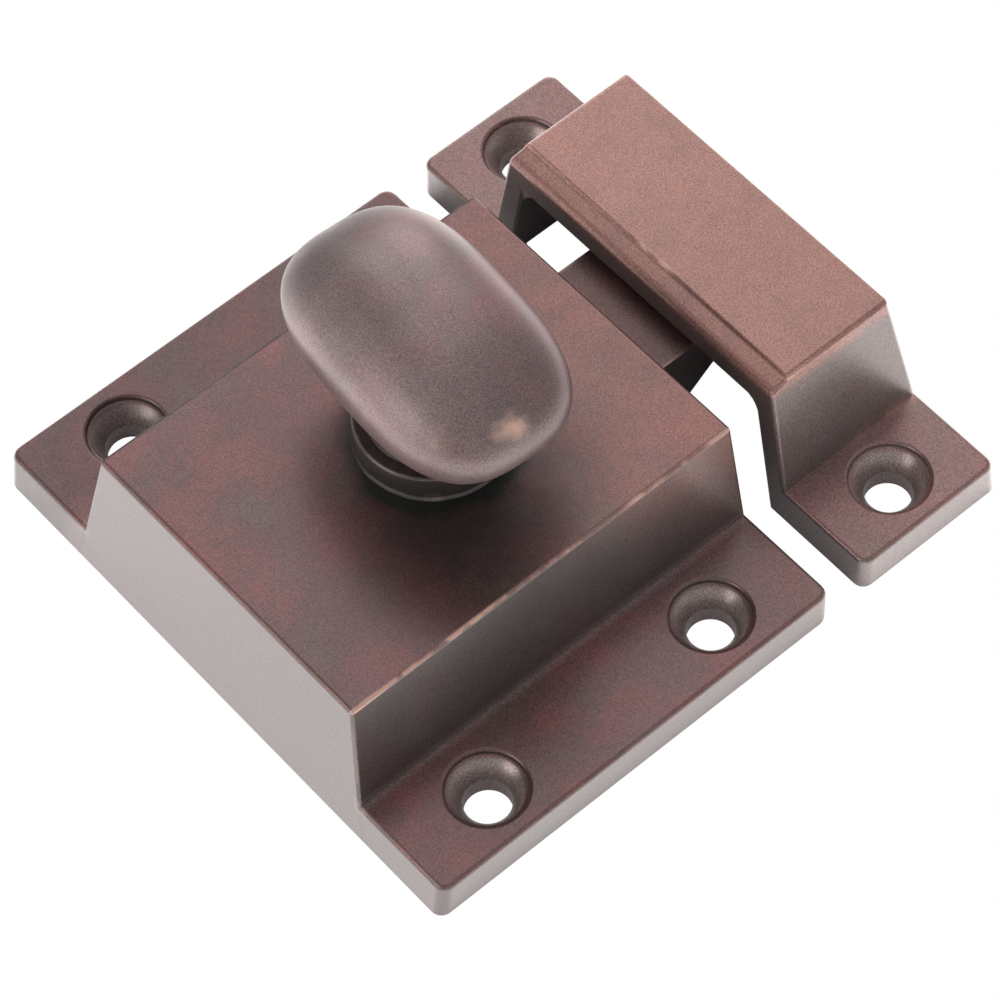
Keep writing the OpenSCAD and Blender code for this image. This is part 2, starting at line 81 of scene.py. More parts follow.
class Wire:
    """A number socket of a node tree. Its operators add Math nodes, so a rule is written as an expression."""

    def __init__(self, tree: "Tree", socket: bpy.types.NodeSocket) -> None:
        """Wraps a socket.

        Args:
            tree: The tree that the socket's node is in.
            socket: An output socket that carries a number.
        """
        self.tree = tree
        self.socket = socket

    def _math(self, operation: str, *inputs: Any) -> "Wire":
        """One Math node over these inputs."""
        return self.tree.node("ShaderNodeMath", {"operation": operation}, dict(enumerate(inputs)))

    def __add__(self, other: Any) -> "Wire":
        """Sum."""
        return self._math("ADD", self, other)

    def __radd__(self, other: Any) -> "Wire":
        """Sum with a number on the left."""
        return self._math("ADD", other, self)

    def __sub__(self, other: Any) -> "Wire":
        """Difference."""
        return self._math("SUBTRACT", self, other)

    def __rsub__(self, other: Any) -> "Wire":
        """Difference from a number on the left."""
        return self._math("SUBTRACT", other, self)

    def __mul__(self, other: Any) -> "Wire":
        """Product."""
        return self._math("MULTIPLY", self, other)

    def __rmul__(self, other: Any) -> "Wire":
        """Product with a number on the left."""
        return self._math("MULTIPLY", other, self)

    def __truediv__(self, other: Any) -> "Wire":
        """Quotient."""
        return self._math("DIVIDE", self, other)

    def __rtruediv__(self, other: Any) -> "Wire":
        """Quotient of a number on the left."""
        return self._math("DIVIDE", other, self)

    def __pow__(self, other: Any) -> "Wire":
        """Power."""
        return self._math("POWER", self, other)

    def __neg__(self) -> "Wire":
        """The opposite number."""
        return self._math("MULTIPLY", self, -1.0)

    def __abs__(self) -> "Wire":
        """Absolute value."""
        return self._math("ABSOLUTE", self)

    def at_least(self, other: Any) -> "Wire":
        """The larger of the two."""
        return self._math("MAXIMUM", self, other)

    def at_most(self, other: Any) -> "Wire":
        """The smaller of the two."""
        return self._math("MINIMUM", self, other)

    def share(self) -> "Wire":
        """Held between 0 and 1."""
        return self.at_least(0.0).at_most(1.0)

    def below(self, other: Any) -> "Wire":
        """1 where this is less than the other, and 0 elsewhere."""
        return self._math("LESS_THAN", self, other)

    def sine(self) -> "Wire":
        """Sine of an angle in radians."""
        return self._math("SINE", self)

    def cosine(self) -> "Wire":
        """Cosine of an angle in radians."""
        return self._math("COSINE", self)

    def fraction(self) -> "Wire":
        """The part after the decimal point."""
        return self._math("FRACT", self)

    def eased(self, low: float, high: float, start: float = 0.0, end: float = 1.0) -> "Wire":
        """A smooth change from start to end as this goes from low to high.

        Args:
            low: Value at which the change starts.
            high: Value at which it ends.
            start: Result up to low.
            end: Result from high on.

        Returns:
            The eased value.
        """
        values = {"Value": self, "From Min": low, "From Max": high, "To Min": start, "To Max": end}
        return self.tree.node("ShaderNodeMapRange", {"interpolation_type": "SMOOTHSTEP"}, values)


class Tree:
    """A shader or geometry node tree that is written from left to right."""

    def __init__(self, tree: bpy.types.NodeTree) -> None:
        """Starts from an existing tree, emptied.

        Args:
            tree: The tree.
        """
        self.tree = tree
        tree.nodes.clear()
        self.count = 0

    def node(self, kind: str, settings: dict[str, Any], values: dict[Any, Any], out: Any = 0) -> Wire:
        """Adds one node.

        Args:
            kind: The node's type name.
            settings: Its own properties, set first.
            values: What goes into its sockets, by name or number: a value, a Wire or a socket.
            out: The name or number of the output to return.

        Returns:
            The chosen output.
        """
        made = self.tree.nodes.new(kind)
        made.location = (200 * (self.count % 12), -240 * (self.count // 12))
        self.count += 1
        for name, value in settings.items():
            setattr(made, name, value)
        for key, value in values.items():
            socket = made.inputs[key]
            if isinstance(value, Wire):
                self.tree.links.new(value.socket, socket)
            elif isinstance(value, bpy.types.NodeSocket):
                self.tree.links.new(value, socket)
            else:
                socket.default_value = value
        return Wire(self, made.outputs[out]) if len(made.outputs) else Wire(self, None)

    def others(self, first: Wire, *names: Any) -> list[Wire]:
        """More outputs of the node that a Wire comes from."""
        return [Wire(self, first.socket.node.outputs[name]) for name in names]

    def vector(self, x: Any, y: Any, z: Any) -> Wire:
        """A vector from three numbers."""
        return self.node("ShaderNodeCombineXYZ", {}, {0: x, 1: y, 2: z})

    def parts(self, vector: Wire) -> tuple[Wire, Wire, Wire]:
        """A vector's three numbers."""
        x = self.node("ShaderNodeSeparateXYZ", {}, {0: vector})
        return x, *self.others(x, "Y", "Z")

    def in_mm(self, place: Wire) -> Wire:
        """A place in metres, turned into millimetres."""
        return self.node("ShaderNodeVectorMath", {"operation": "MULTIPLY"}, {0: place, 1: (1 / MM, 1 / MM, 1 / MM)})

    def along(self, place: Wire, way: Vector) -> Wire:
        """How far a place is along a direction of length 1."""
        return self.node("ShaderNodeVectorMath", {"operation": "DOT_PRODUCT"}, {0: place, 1: way}, "Value")

    def shaded(self, colour: Any, shade: Wire) -> Wire:
        """A colour made lighter or darker by a factor."""
        return self.blend(1.0, colour, self.vector(shade, shade, shade), "MULTIPLY")

    def noise(self, place: Wire, size: float, detail: float = 3.0, rough: float = 0.55) -> Wire:
        """Noise from 0 to 1.

        Args:
            place: Where it is read, in metres.
            size: Size of its patches, in millimetres.
            detail: How many finer layers it has.
            rough: How strong the finer layers are.

        Returns:
            The noise's value.
        """
        values = {"Vector": place, "Scale": 1 / (size * MM), "Detail": detail, "Roughness": rough}
        return self.node("ShaderNodeTexNoise", {"noise_dimensions": "3D"}, values, "Fac")

    def blend(self, share: Any, first: Any, second: Any, way: str = "MIX") -> Wire:
        """A mix of two colours.

        Args:
            share: How much of the second colour shows, from 0 to 1.
            first: A colour or a Wire.
            second: A colour or a Wire.
            way: The Mix node's blend type.

        Returns:
            The mixed colour.
        """
        pair = [(*c, 1.0) if isinstance(c, tuple) and len(c) == 3 else c for c in (first, second)]
        settings = {"data_type": "RGBA", "blend_type": way, "clamp_factor": True}
        return self.node("ShaderNodeMix", settings, {0: share, 6: pair[0], 7: pair[1]}, 2)


def new_material(name: str) -> tuple[bpy.types.Material, Tree]:
    """An empty material.

    Args:
        name: Its name.

    Returns:
        The material and its node tree.
    """
    made = bpy.data.materials.new(name)
    made.use_nodes = True
    return made, Tree(made.node_tree)


@dataclass(frozen=True)
class Plane:
    """A plane through a point, in millimetres, with y counted outward on both sides of the bolt's line."""

    through: Point
    facing: Point

    def distance(self, tree: Tree, place: Wire) -> Wire:
        """How far a point is from the plane, in millimetres.

        Args:
            tree: The shader's tree.
            place: The point, in millimetres.

        Returns:
            The distance, without a sign.
        """
        facing = Vector(self.facing).normalized()
        return abs(tree.along(place, facing) - facing.dot(Vector(self.through)))


@dataclass(frozen=True)
class WearAndShadingLine:
    """A line where two planes meet, marked all along it or only round one point: copper wear, painted highlights and
    painted shade.
    """

    first: Plane
    second: Plane
    strength: float
    width: float = 0.3
    round_point: Point | None = None
    reach: float = 4.0
    one_side: bool = False
    core: float = 0.04

    def mask(self, tree: Tree, place: Wire) -> Wire:
        """Full on the line and 0 at its width.

        Args:
            tree: The shader's tree.
            place: The point, in millimetres.

        Returns:
            The line's share at the point.
        """
        off = self.first.distance(tree, place).at_least(self.second.distance(tree, place))
        line = off.eased(self.core, self.width, self.strength, 0.0)
        if self.round_point is None:
            return line
        return line * WearAndShadingSpot(self.round_point, self.reach, 1.0, self.reach / 2).mask(tree, place)


@dataclass(frozen=True)
class WearAndShadingSpot:
    """A round place, used for spots of wear, painted glints and painted shadow."""

    centre: Point
    radius: float
    strength: float
    core: float = 0.0

    def mask(self, tree: Tree, place: Wire) -> Wire:
        """Full inside the core and 0 at the radius.

        Args:
            tree: The shader's tree.
            place: The point, in millimetres.

        Returns:
            The spot's share at the point.
        """
        values = {0: place, 1: self.centre}
        off = tree.node("ShaderNodeVectorMath", {"operation": "DISTANCE"}, values, "Value")
        return off.eased(self.core, self.radius, self.strength, 0.0)


@dataclass(frozen=True)
class Fade:
    """A change that grows along one direction, from one distance to another, in millimetres."""

    toward: Point
    start: float
    end: float
    strength: float

    def mask(self, tree: Tree, place: Wire) -> Wire:
        """0 up to the start and full from the end on."""
        along = tree.along(place, Vector(self.toward).normalized())
        return along.eased(self.start, self.end, 0.0, self.strength)


Mark = WearAndShadingLine | WearAndShadingSpot | Fade


@dataclass(frozen=True)
class OilRubbedBronze:
    """Dark satin bronze: a brown patina with reddish and olive patches, fine grain, and wear down to copper.

    On upright faces the patina is blended to a greyer tone: painted shade and painted reflection, from how the light
    falls on the sides.
    """

    umber: Colour = (0.097, 0.046, 0.045)
    mauve: Colour = (0.112, 0.055, 0.058)
    russet: Colour = (0.168, 0.055, 0.054)
    olive: Colour = (0.092, 0.068, 0.053)
    rust: Colour = (0.195, 0.061, 0.053)
    # Lighter, warmer brown of the painted sheen.
    painted_sheen: Colour = (0.246, 0.098, 0.073)
    # Copper of wear, also the colour of the painted glints.
    copper: Colour = (0.560, 0.340, 0.280)
    # Near-black tone of the painted shade.
    painted_shade_tone: Colour = (0.012, 0.013, 0.011)
    # Pale grey of a thinner patina, also used for painted reflection and highlight lines.
    thin_patina_and_sheen: Colour = (0.300, 0.238, 0.222)
    # Greyer tone of the painted shade and reflection on upright faces.
    upright: Colour = (0.070, 0.060, 0.057)
    upright_share: float = 0.85
    metal: float = 0.50
    rough: float = 0.33
    wax: float = 0.62
    wax_rough: float = 0.26
    cloud_size: float = 14.0
    patch_size: float = 5.0
    wear_size: float = 2.6
    speck_size: float = 0.15
    grain_size: float = 0.11
    grain_depth: float = 0.006
    grain_shade: float = 3.2
    cloud_shade: float = 0.3
    grain_rough: float = 0.12
    cloud_rough: float = 0.16
    painted_shade_rough: float = 0.25
    painted_shade_dulls: float = 0.8
    worn_smooth: float = 0.12
    worn_metal: float = 0.3

    def material(
        self, name: str, wear_and_glints: Sequence[Mark] = (), painted_sheen: Sequence[Mark] = (), painted_shade: Sequence[Mark] = (),
        pale: Sequence[Mark] = ()
    ) -> bpy.types.Material:
        """The finish for one piece.

        Args:
            name: The material's name.
            wear_and_glints: The lines and spots painted in copper: wear on edges, and painted glints and highlights.
            painted_sheen: The zones painted a lighter, warmer brown: painted sheen and highlight where the light falls.
            painted_shade: The zones darkened with painted shade: painted shadows under and beside the parts, and darker
                sides.
            pale: The zones painted a pale grey, such as drilled holes: a thinner patina there with painted reflection,
                and painted highlight lines.

        Returns:
            The material.
        """
        made, tree = new_material(name)
        place = tree.node("ShaderNodeTexCoord", {}, {}, "Object")
        colour, cloud, grain = self._patina(tree, place)
        rough = self.rough + (cloud - 0.5) * self.cloud_rough + (grain - 0.5) * self.grain_rough
        metal: Any = self.metal
        wax: Any = self.wax
        scaled, mirrored = self._measured(tree, place)
        patchy = tree.noise(place, self.wear_size, 3.0, 0.6)
        # Painted sheen: blends toward a lighter, warmer brown where the light falls.
        if painted_sheen:
            share = self._sum(tree, painted_sheen, scaled, mirrored) * patchy.eased(0.30, 0.60, 0.6, 1.0)
            colour = tree.blend(share.share(), colour, self.painted_sheen)
        # Pale grey: a thinner patina in the holes, with painted reflection, and painted highlight lines.
        if pale:
            colour = tree.blend(self._sum(tree, pale, scaled, mirrored).share(), colour, self.thin_patina_and_sheen)
        shade = 1 + (grain - 0.5) * self.grain_shade + (cloud - 0.5) * self.cloud_shade
        colour = tree.shaded(colour, shade.at_least(0.3))
        # Painted shade: darkens toward a near-black tone and dulls the coat where shadow falls.
        if painted_shade:
            painted_shade_share = (self._sum(tree, painted_shade, scaled, mirrored) * patchy.eased(0.35, 0.55, 0.75, 1.0)).share()
            colour = tree.blend(painted_shade_share, colour, self.painted_shade_tone)
            rough = rough + painted_shade_share * self.painted_shade_rough
            wax = self.wax * (1 - painted_shade_share * self.painted_shade_dulls)
        # Copper: wear on edges, and painted glints and highlights.
        if wear_and_glints:
            bare_and_glint = (self._sum(tree, wear_and_glints, scaled, mirrored) * patchy.eased(0.40, 0.60, 0.2, 1.0)).share()
            colour = tree.blend(bare_and_glint, colour, self.copper)
            rough = rough - bare_and_glint * self.worn_smooth
            metal = self.metal + bare_and_glint * self.worn_metal
        height = grain + tree.noise(place, self.grain_size * 6) * 1.5
        bump = tree.node("ShaderNodeBump", {}, {"Height": height, "Strength": 0.5, "Distance": self.grain_depth * MM})
        values = {"Base Color": colour, "Roughness": rough.share(), "Metallic": metal, "Normal": bump, "IOR": 1.5,
                  "Coat Weight": wax, "Coat Roughness": self.wax_rough}
        shader = tree.node("ShaderNodeBsdfPrincipled", {}, values)
        tree.node("ShaderNodeOutputMaterial", {}, {"Surface": shader})
        made.diffuse_color = (*self.umber, 1.0)
        return made

    def _patina(self, tree: Tree, place: Wire) -> tuple[Wire, Wire, Wire]:
        """The patina, with the painted shade and reflection on upright faces, before the other marks.

        Args:
            tree: The shader's tree.
            place: The Object output of Texture Coordinate.

        Returns:
            Its colour, its clouds and its grain.
        """
        cloud = tree.noise(place, self.cloud_size, 2.0)
        patch = tree.noise(place, self.patch_size, 4.0, 0.6)
        speck = tree.noise(place, self.speck_size, 2.0, 0.6)
        grain = tree.noise(place, self.grain_size, 2.0, 0.7)
        colour = tree.blend(cloud.eased(0.38, 0.62), self.umber, self.mauve)
        colour = tree.blend(patch.eased(0.44, 0.68, 0.0, 0.7), colour, self.russet)
        colour = tree.blend(patch.eased(0.48, 0.32, 0.0, 0.6), colour, self.olive)
        colour = tree.blend(speck.eased(0.50, 0.70, 0.0, 0.45), colour, self.rust)
        colour = tree.blend(speck.eased(0.48, 0.32, 0.0, 0.35), colour, self.olive)
        # Painted shade and reflection: upright faces blend to a greyer tone by the angle of their faces.
        level = abs(tree.parts(tree.others(place, "Normal")[0])[2])
        colour = tree.blend(level.eased(0.35, 0.75, self.upright_share, 0.0), colour, self.upright)
        return colour, cloud, grain

    @staticmethod
    def _measured(tree: Tree, place: Wire) -> tuple[Wire, Wire]:
        """The place in millimetres, as it is and folded over the bolt's line.

        Args:
            tree: The shader's tree.
            place: The place, in metres.

        Returns:
            The place, and the same with y counted outward on both sides.
        """
        scaled = tree.in_mm(place)
        x, y, z = tree.parts(scaled)
        return scaled, tree.vector(x, abs(y), z)

    @staticmethod
    def _sum(tree: Tree, marks: Sequence[Mark], scaled: Wire, mirrored: Wire) -> Wire:
        """Adds up the masks of one or more marks. Most lines are the same on both sides of the bolt's line.

        Args:
            tree: The shader's tree.
            marks: The marks.
            scaled: The place, in millimetres.
            mirrored: The same, with y counted outward.

        Returns:
            The sum of their shares.
        """
        total: Any = 0.0
        for mark in marks:
            both = isinstance(mark, WearAndShadingLine) and not mark.one_side
            total = mark.mask(tree, mirrored if both else scaled) + total
        return total


@dataclass(frozen=True)
class PlainMetal:
    """A metal as it comes from the mill or the lathe."""

    colour: Colour
    rough: float
    scratch_size: float = 0.3
    scratch_depth: float = 0.004
    drawn_out: float = 0.06
    scratch_shade: float = 0.24
    scratch_rough: float = 0.2
    cloud_size: float = 5.0
    cloud_rough: float = 0.12

    def material(self, name: str) -> bpy.types.Material:
        """The finish, with faint drawn scratches along the bolt.

        Args:
            name: The material's name.

        Returns:
            The material.
        """
        made, tree = new_material(name)
        place = tree.node("ShaderNodeTexCoord", {}, {}, "Object")
        drawn = tree.node("ShaderNodeMapping", {}, {"Vector": place, "Scale": (self.drawn_out, 1.0, 1.0)})
        scratch = tree.noise(drawn, self.scratch_size, 4.0, 0.65)
        dull = tree.noise(place, self.cloud_size, 3.0)
        colour = tree.shaded(self.colour, 1 - self.scratch_shade / 2 + scratch * self.scratch_shade)
        rough = self.rough + (scratch - 0.5) * self.scratch_rough + (dull - 0.5) * self.cloud_rough
        height = {"Height": scratch, "Strength": 0.4, "Distance": self.scratch_depth * MM}
        bump = tree.node("ShaderNodeBump", {}, height)
        values = {"Base Color": colour, "Roughness": rough.share(), "Metallic": 1.0, "Normal": bump}
        shader = tree.node("ShaderNodeBsdfPrincipled", {}, values)
        tree.node("ShaderNodeOutputMaterial", {}, {"Surface": shader})
        made.diffuse_color = (*self.colour, 1.0)
        return made


BRONZE = OilRubbedBronze()
# The knob's copy of the bronze, greyer and lighter; its sheen tone and lighter copper serve the painted light and
# glints on the knob.
KNOB_BRONZE = OilRubbedBronze(umber=(0.118, 0.072, 0.069), mauve=(0.144, 0.084, 0.086), russet=(0.205, 0.084, 0.082),
                              olive=(0.106, 0.082, 0.074), painted_sheen=(0.210, 0.160, 0.158), copper=(0.72, 0.47, 0.37),
                              rough=0.42, wax=0.60, wax_rough=0.34, upright_share=0.0)
# Lighter copy of the bronze for the strike: painted light on the hood's top and sides.
LIT_STRIKE_BRONZE = OilRubbedBronze(umber=(0.162, 0.085, 0.077), mauve=(0.174, 0.093, 0.090),
                                russet=(0.215, 0.090, 0.084), olive=(0.142, 0.094, 0.076),
                                painted_sheen=(0.266, 0.124, 0.099), upright=(0.128, 0.106, 0.098))
# Darker copy of the bronze for the bolt: painted shade of the hood over it.
SHADOWED_BOLT_BRONZE = OilRubbedBronze(umber=(0.072, 0.040, 0.036), mauve=(0.080, 0.044, 0.042), russet=(0.110, 0.050, 0.043),
                              olive=(0.066, 0.046, 0.038), wax=0.25)
# Near-black copy of the bronze for the collar: painted shade under the knob.
SHADOWED_BRONZE = OilRubbedBronze(umber=(0.020, 0.014, 0.013), mauve=(0.026, 0.017, 0.017), russet=(0.030, 0.017, 0.015),
                              olive=(0.020, 0.016, 0.014), rust=(0.036, 0.020, 0.018))
BRASS = PlainMetal((0.62, 0.45, 0.22), 0.36)
STEEL = PlainMetal((0.56, 0.56, 0.58), 0.30)


def rounded(corners: Sequence[Point], steps: int = 6) -> list[tuple[float, float]]:
    """A closed outline whose corners are rounded.

    Args:
        corners: Each corner as (x, y, radius).
        steps: Segments in each round.

    Returns:
        The outline's points.
    """
    outline: list[tuple[float, float]] = []
    for i, (x, y, radius) in enumerate(corners):
        here = Vector((x, y))
        back = (Vector(corners[i - 1][:2]) - here).normalized()
        on = (Vector(corners[(i + 1) % len(corners)][:2]) - here).normalized()
        if radius <= 0:
            outline.append((x, y))
            continue
        half = back.angle(on) / 2
        centre = here + (back + on).normalized() * (radius / math.sin(half))
        start = here + back * (radius / math.tan(half)) - centre
        end = here + on * (radius / math.tan(half)) - centre
        turn = start.angle_signed(end)
        for k in range(steps + 1):
            spot = centre + Matrix.Rotation(-turn * k / steps, 2) @ start
            outline.append((spot.x, spot.y))
    return outline


ALONG_X = Matrix(((0, 0, 1), (1, 0, 0), (0, 1, 0)))
ALONG_Y = Matrix(((1, 0, 0), (0, 0, -1), (0, 1, 0)))
ALONG_Z = Matrix.Identity(3)


def raw_mesh(name: str, points: Sequence[Point], faces: Sequence[Sequence[int]] = ()) -> bpy.types.Mesh:
    """A mesh as it is given.

    Args:
        name: Its name.
        points: Its points, in millimetres.
        faces: Each face's points, by number.

    Returns:
        The mesh, in metres.
    """
    mesh = bpy.data.meshes.new(name)
    mesh.from_pydata([Vector(p) * MM for p in points], [], faces)
    return mesh


def in_scene(name: str, data: Any) -> bpy.types.Object:
    """Puts an object in the scene.

    Args:
        name: Its name.
        data: The mesh, light or camera that it shows.

    Returns:
        The object, at the origin.
    """
    made = bpy.data.objects.new(name, data)
    bpy.context.scene.collection.objects.link(made)
    return made


@contextmanager
def edited(mesh: bpy.types.Mesh) -> Iterator[bmesh.types.BMesh]:
    """Opens a mesh for editing, and writes it back at the block's end.

    Args:
        mesh: The mesh.

    Yields:
        Its editable form.
    """
    work = bmesh.new()
    work.from_mesh(mesh)
    yield work
    work.to_mesh(mesh)
    work.free()


class Bench:
    """Makes meshes from outlines, corners and modifiers. Everything is given in millimetres."""

    @staticmethod
    def outward(mesh: bpy.types.Mesh) -> bpy.types.Mesh:
        """Turns a closed mesh's faces outward.

        Args:
            mesh: The mesh.

        Returns:
            The same mesh.
        """
        with edited(mesh) as work:
            bmesh.ops.recalc_face_normals(work, faces=work.faces)
            if work.calc_volume(signed=True) < 0:
                bmesh.ops.reverse_faces(work, faces=work.faces)
        return mesh

    @staticmethod
    def bridged(first: Sequence[Point], second: Sequence[Point]) -> bpy.types.Mesh:
        """A solid between two outlines.

        Args:
            first: One end's points.
            second: The other end's, as many and in the same order.

        Returns:
            The solid.
        """
        n = len(first)
        sides = [[i, (i + 1) % n, n + (i + 1) % n, n + i] for i in range(n)]
        faces = [list(range(n)), list(range(n, 2 * n)), *sides]
        return Bench.outward(raw_mesh("bridged", [*first, *second], faces))

    @staticmethod
    def block(levels: Sequence[tuple[float, float, float, float]]) -> bpy.types.Mesh:
        """A block between two level rectangles.

        Args:
            levels: Each rectangle's height, its two ends along the bolt, and half its width.

        Returns:
            The solid.
        """
        return Bench.bridged(*([(x0, -y, z), (x1, -y, z), (x1, y, z), (x0, y, z)] for z, x0, x1, y in levels))

    @staticmethod
    def extruded(outline: Sequence[tuple[float, float]], low: float, high: float, turn: Matrix) -> bpy.types.Mesh:
        """An outline carried straight from one level to another.

        Args:
            outline: The outline's points.
            low: The level that it starts at.
            high: The level that it ends at.
            turn: A matrix that brings (outline x, outline y, level) to its place.

        Returns:
            The solid.
        """
        return Bench.bridged(*([tuple(turn @ Vector((x, y, z))) for x, y in outline] for z in (low, high)))

    @staticmethod
    def revolved(
        profile: Sequence[tuple[float, float]], centre: Point, turn: Matrix = ALONG_Z, sides: int = 64
    ) -> bpy.types.Mesh:
        """A closed profile of (radius, level) turned round an axis.

        Args:
            profile: The profile's points. Points on the axis close the form.
            centre: A point of the axis.
            turn: A matrix that brings the level's direction to the axis.
            sides: Segments round it.

        Returns:
            The solid.
        """
        n = len(profile)
        points = []
        for s in range(sides):
            a = 2 * math.pi * s / sides
            points += [tuple(Vector(centre) + turn @ Vector((r * math.cos(a), r * math.sin(a), z))) for r, z in profile]
        faces = [[s * n + i, s * n + (i + 1) % n, (s + 1) % sides * n + (i + 1) % n, (s + 1) % sides * n + i]
                 for s in range(sides) for i in range(n)]
        mesh = raw_mesh("revolved", points, faces)
        with edited(mesh) as work:
            bmesh.ops.remove_doubles(work, verts=work.verts, dist=TINY)
            bmesh.ops.dissolve_degenerate(work, edges=work.edges, dist=TINY)
        return Bench.outward(mesh)

    @staticmethod
    def rod(
        radius: float, low: float, high: float, centre: Point, turn: Matrix = ALONG_Z, sides: int = 64
    ) -> bpy.types.Mesh:
        """A round rod.

        Args:
            radius: Its radius.
            low: The level that it starts at.
            high: The level that it ends at.
            centre: A point of its axis.
            turn: A matrix that brings the level's direction to the axis.
            sides: Segments round it.

        Returns:
            The solid.
        """
        return Bench.revolved([(0, low), (radius, low), (radius, high), (0, high)], centre, turn, sides)

    @staticmethod
    def run(mesh: bpy.types.Mesh, kind: str, settings: dict[str, Any]) -> bpy.types.Mesh:
        """Runs a modifier over a mesh.

        Args:
            mesh: The mesh to start from. It is used up.
            kind: The modifier's type.
            settings: Its settings. A mesh among them stands for an object that holds it.

        Returns:
            The new mesh.
        """
        host = in_scene("bench", mesh)
        helpers = [host]
        modifier = host.modifiers.new(kind.lower(), kind)
        for name, value in settings.items():
            if isinstance(value, bpy.types.Mesh):
                value = in_scene("tool", value)
                helpers.append(value)
            setattr(modifier, name, value)
        made = bpy.data.meshes.new_from_object(host.evaluated_get(bpy.context.evaluated_depsgraph_get()))
        for helper in helpers:
            old = helper.data
            bpy.data.objects.remove(helper)
            bpy.data.meshes.remove(old)
        return made

    @staticmethod
    def eased(mesh: bpy.types.Mesh, radius_at: Callable[[Vector, Vector], float], largest: float) -> bpy.types.Mesh:
        """Rounds a solid's edges, each with its own radius.

        Args:
            mesh: The sharp solid.
            radius_at: Gives an edge's radius from its two ends, in millimetres.
            largest: The largest radius that it gives.

        Returns:
            The rounded solid.
        """
        with edited(mesh) as work:
            layers = work.edges.layers.float
            weight = layers.get("bevel_weight_edge") or layers.new("bevel_weight_edge")
            for edge in work.edges:
                edge[weight] = radius_at(*(v.co / MM for v in edge.verts)) / largest
        settings = {"limit_method": "WEIGHT", "width": largest * MM, "segments": 5, "use_clamp_overlap": False}
        return Bench.run(mesh, "BEVEL", settings)

    @staticmethod
    def broken(mesh: bpy.types.Mesh, width: float, above: float) -> bpy.types.Mesh:
        """Breaks a solid's sharp edges.

        Args:
            mesh: The sharp solid.
            width: How much is taken off them.
            above: The angle past which an edge is sharp, in degrees.

        Returns:
            The solid with its edges broken.
        """
        settings = {"limit_method": "ANGLE", "angle_limit": math.radians(above), "width": width * MM, "segments": 2,
                    "use_clamp_overlap": True}
        return Bench.run(mesh, "BEVEL", settings)

    @staticmethod
    def cornered(mesh: bpy.types.Mesh, half_w: float, radius: float) -> bpy.types.Mesh:
        """Rounds the upright corners of a casting's flanges.

        Args:
            mesh: The sharp solid.
            half_w: Half the casting's width across its flanges.
            radius: The corners' radius.

        Returns:
            The solid with round corners.
        """
        def at_corner(a: Vector, b: Vector) -> float:
            """The radius on an upright edge at a flange's end, and 0 elsewhere."""
            return radius if min(abs(a.y), abs(b.y)) > half_w - NEAR and abs(a.z - b.z) > 1 else 0.0

        return Bench.eased(mesh, at_corner, radius)

    @staticmethod
    def cut(mesh: bpy.types.Mesh, tools: Sequence[bpy.types.Mesh]) -> bpy.types.Mesh:
        """Cuts solids out of a solid, one after another.

        Args:
            mesh: The solid.
            tools: The solids that are cut out of it.

        Returns:
            What is left.
        """
        for tool in tools:
            mesh = Bench.run(mesh, "BOOLEAN", {"object": tool, "operation": "DIFFERENCE", "solver": "MANIFOLD"})
        return mesh

    @staticmethod
    def shaded(mesh: bpy.types.Mesh, crease: float = 38.0) -> bpy.types.Mesh:
        """Smooth shading that keeps flat faces flat.

        Args:
            mesh: The mesh.
            crease: The angle past which an edge stays sharp, in degrees.

        Returns:
            The shaded mesh.
        """
        with edited(mesh) as work:
            bmesh.ops.remove_doubles(work, verts=work.verts, dist=2 * TINY)
            bmesh.ops.dissolve_degenerate(work, edges=work.edges, dist=TINY)
            for face in work.faces:
                face.smooth = True
            for edge in work.edges:
                edge.smooth = not edge.is_manifold or edge.calc_face_angle(0.0) < math.radians(crease)
        return Bench.run(mesh, "WEIGHTED_NORMAL", {"keep_sharp": True, "weight": 50})

    @staticmethod
    def node_copy(node: str) -> bpy.types.Mesh:
        """A copy of a CAD node's mesh, merged, with its flat faces whole again.

        Args:
            node: The node's name.

        Returns:
            The copy.
        """
        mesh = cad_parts[node].data.copy()
        with edited(mesh) as work:
            bmesh.ops.remove_doubles(work, verts=work.verts, dist=10 * TINY)
            bmesh.ops.dissolve_limit(work, angle_limit=math.radians(0.5), verts=work.verts, edges=work.edges)
        mesh.materials.clear()
        return mesh


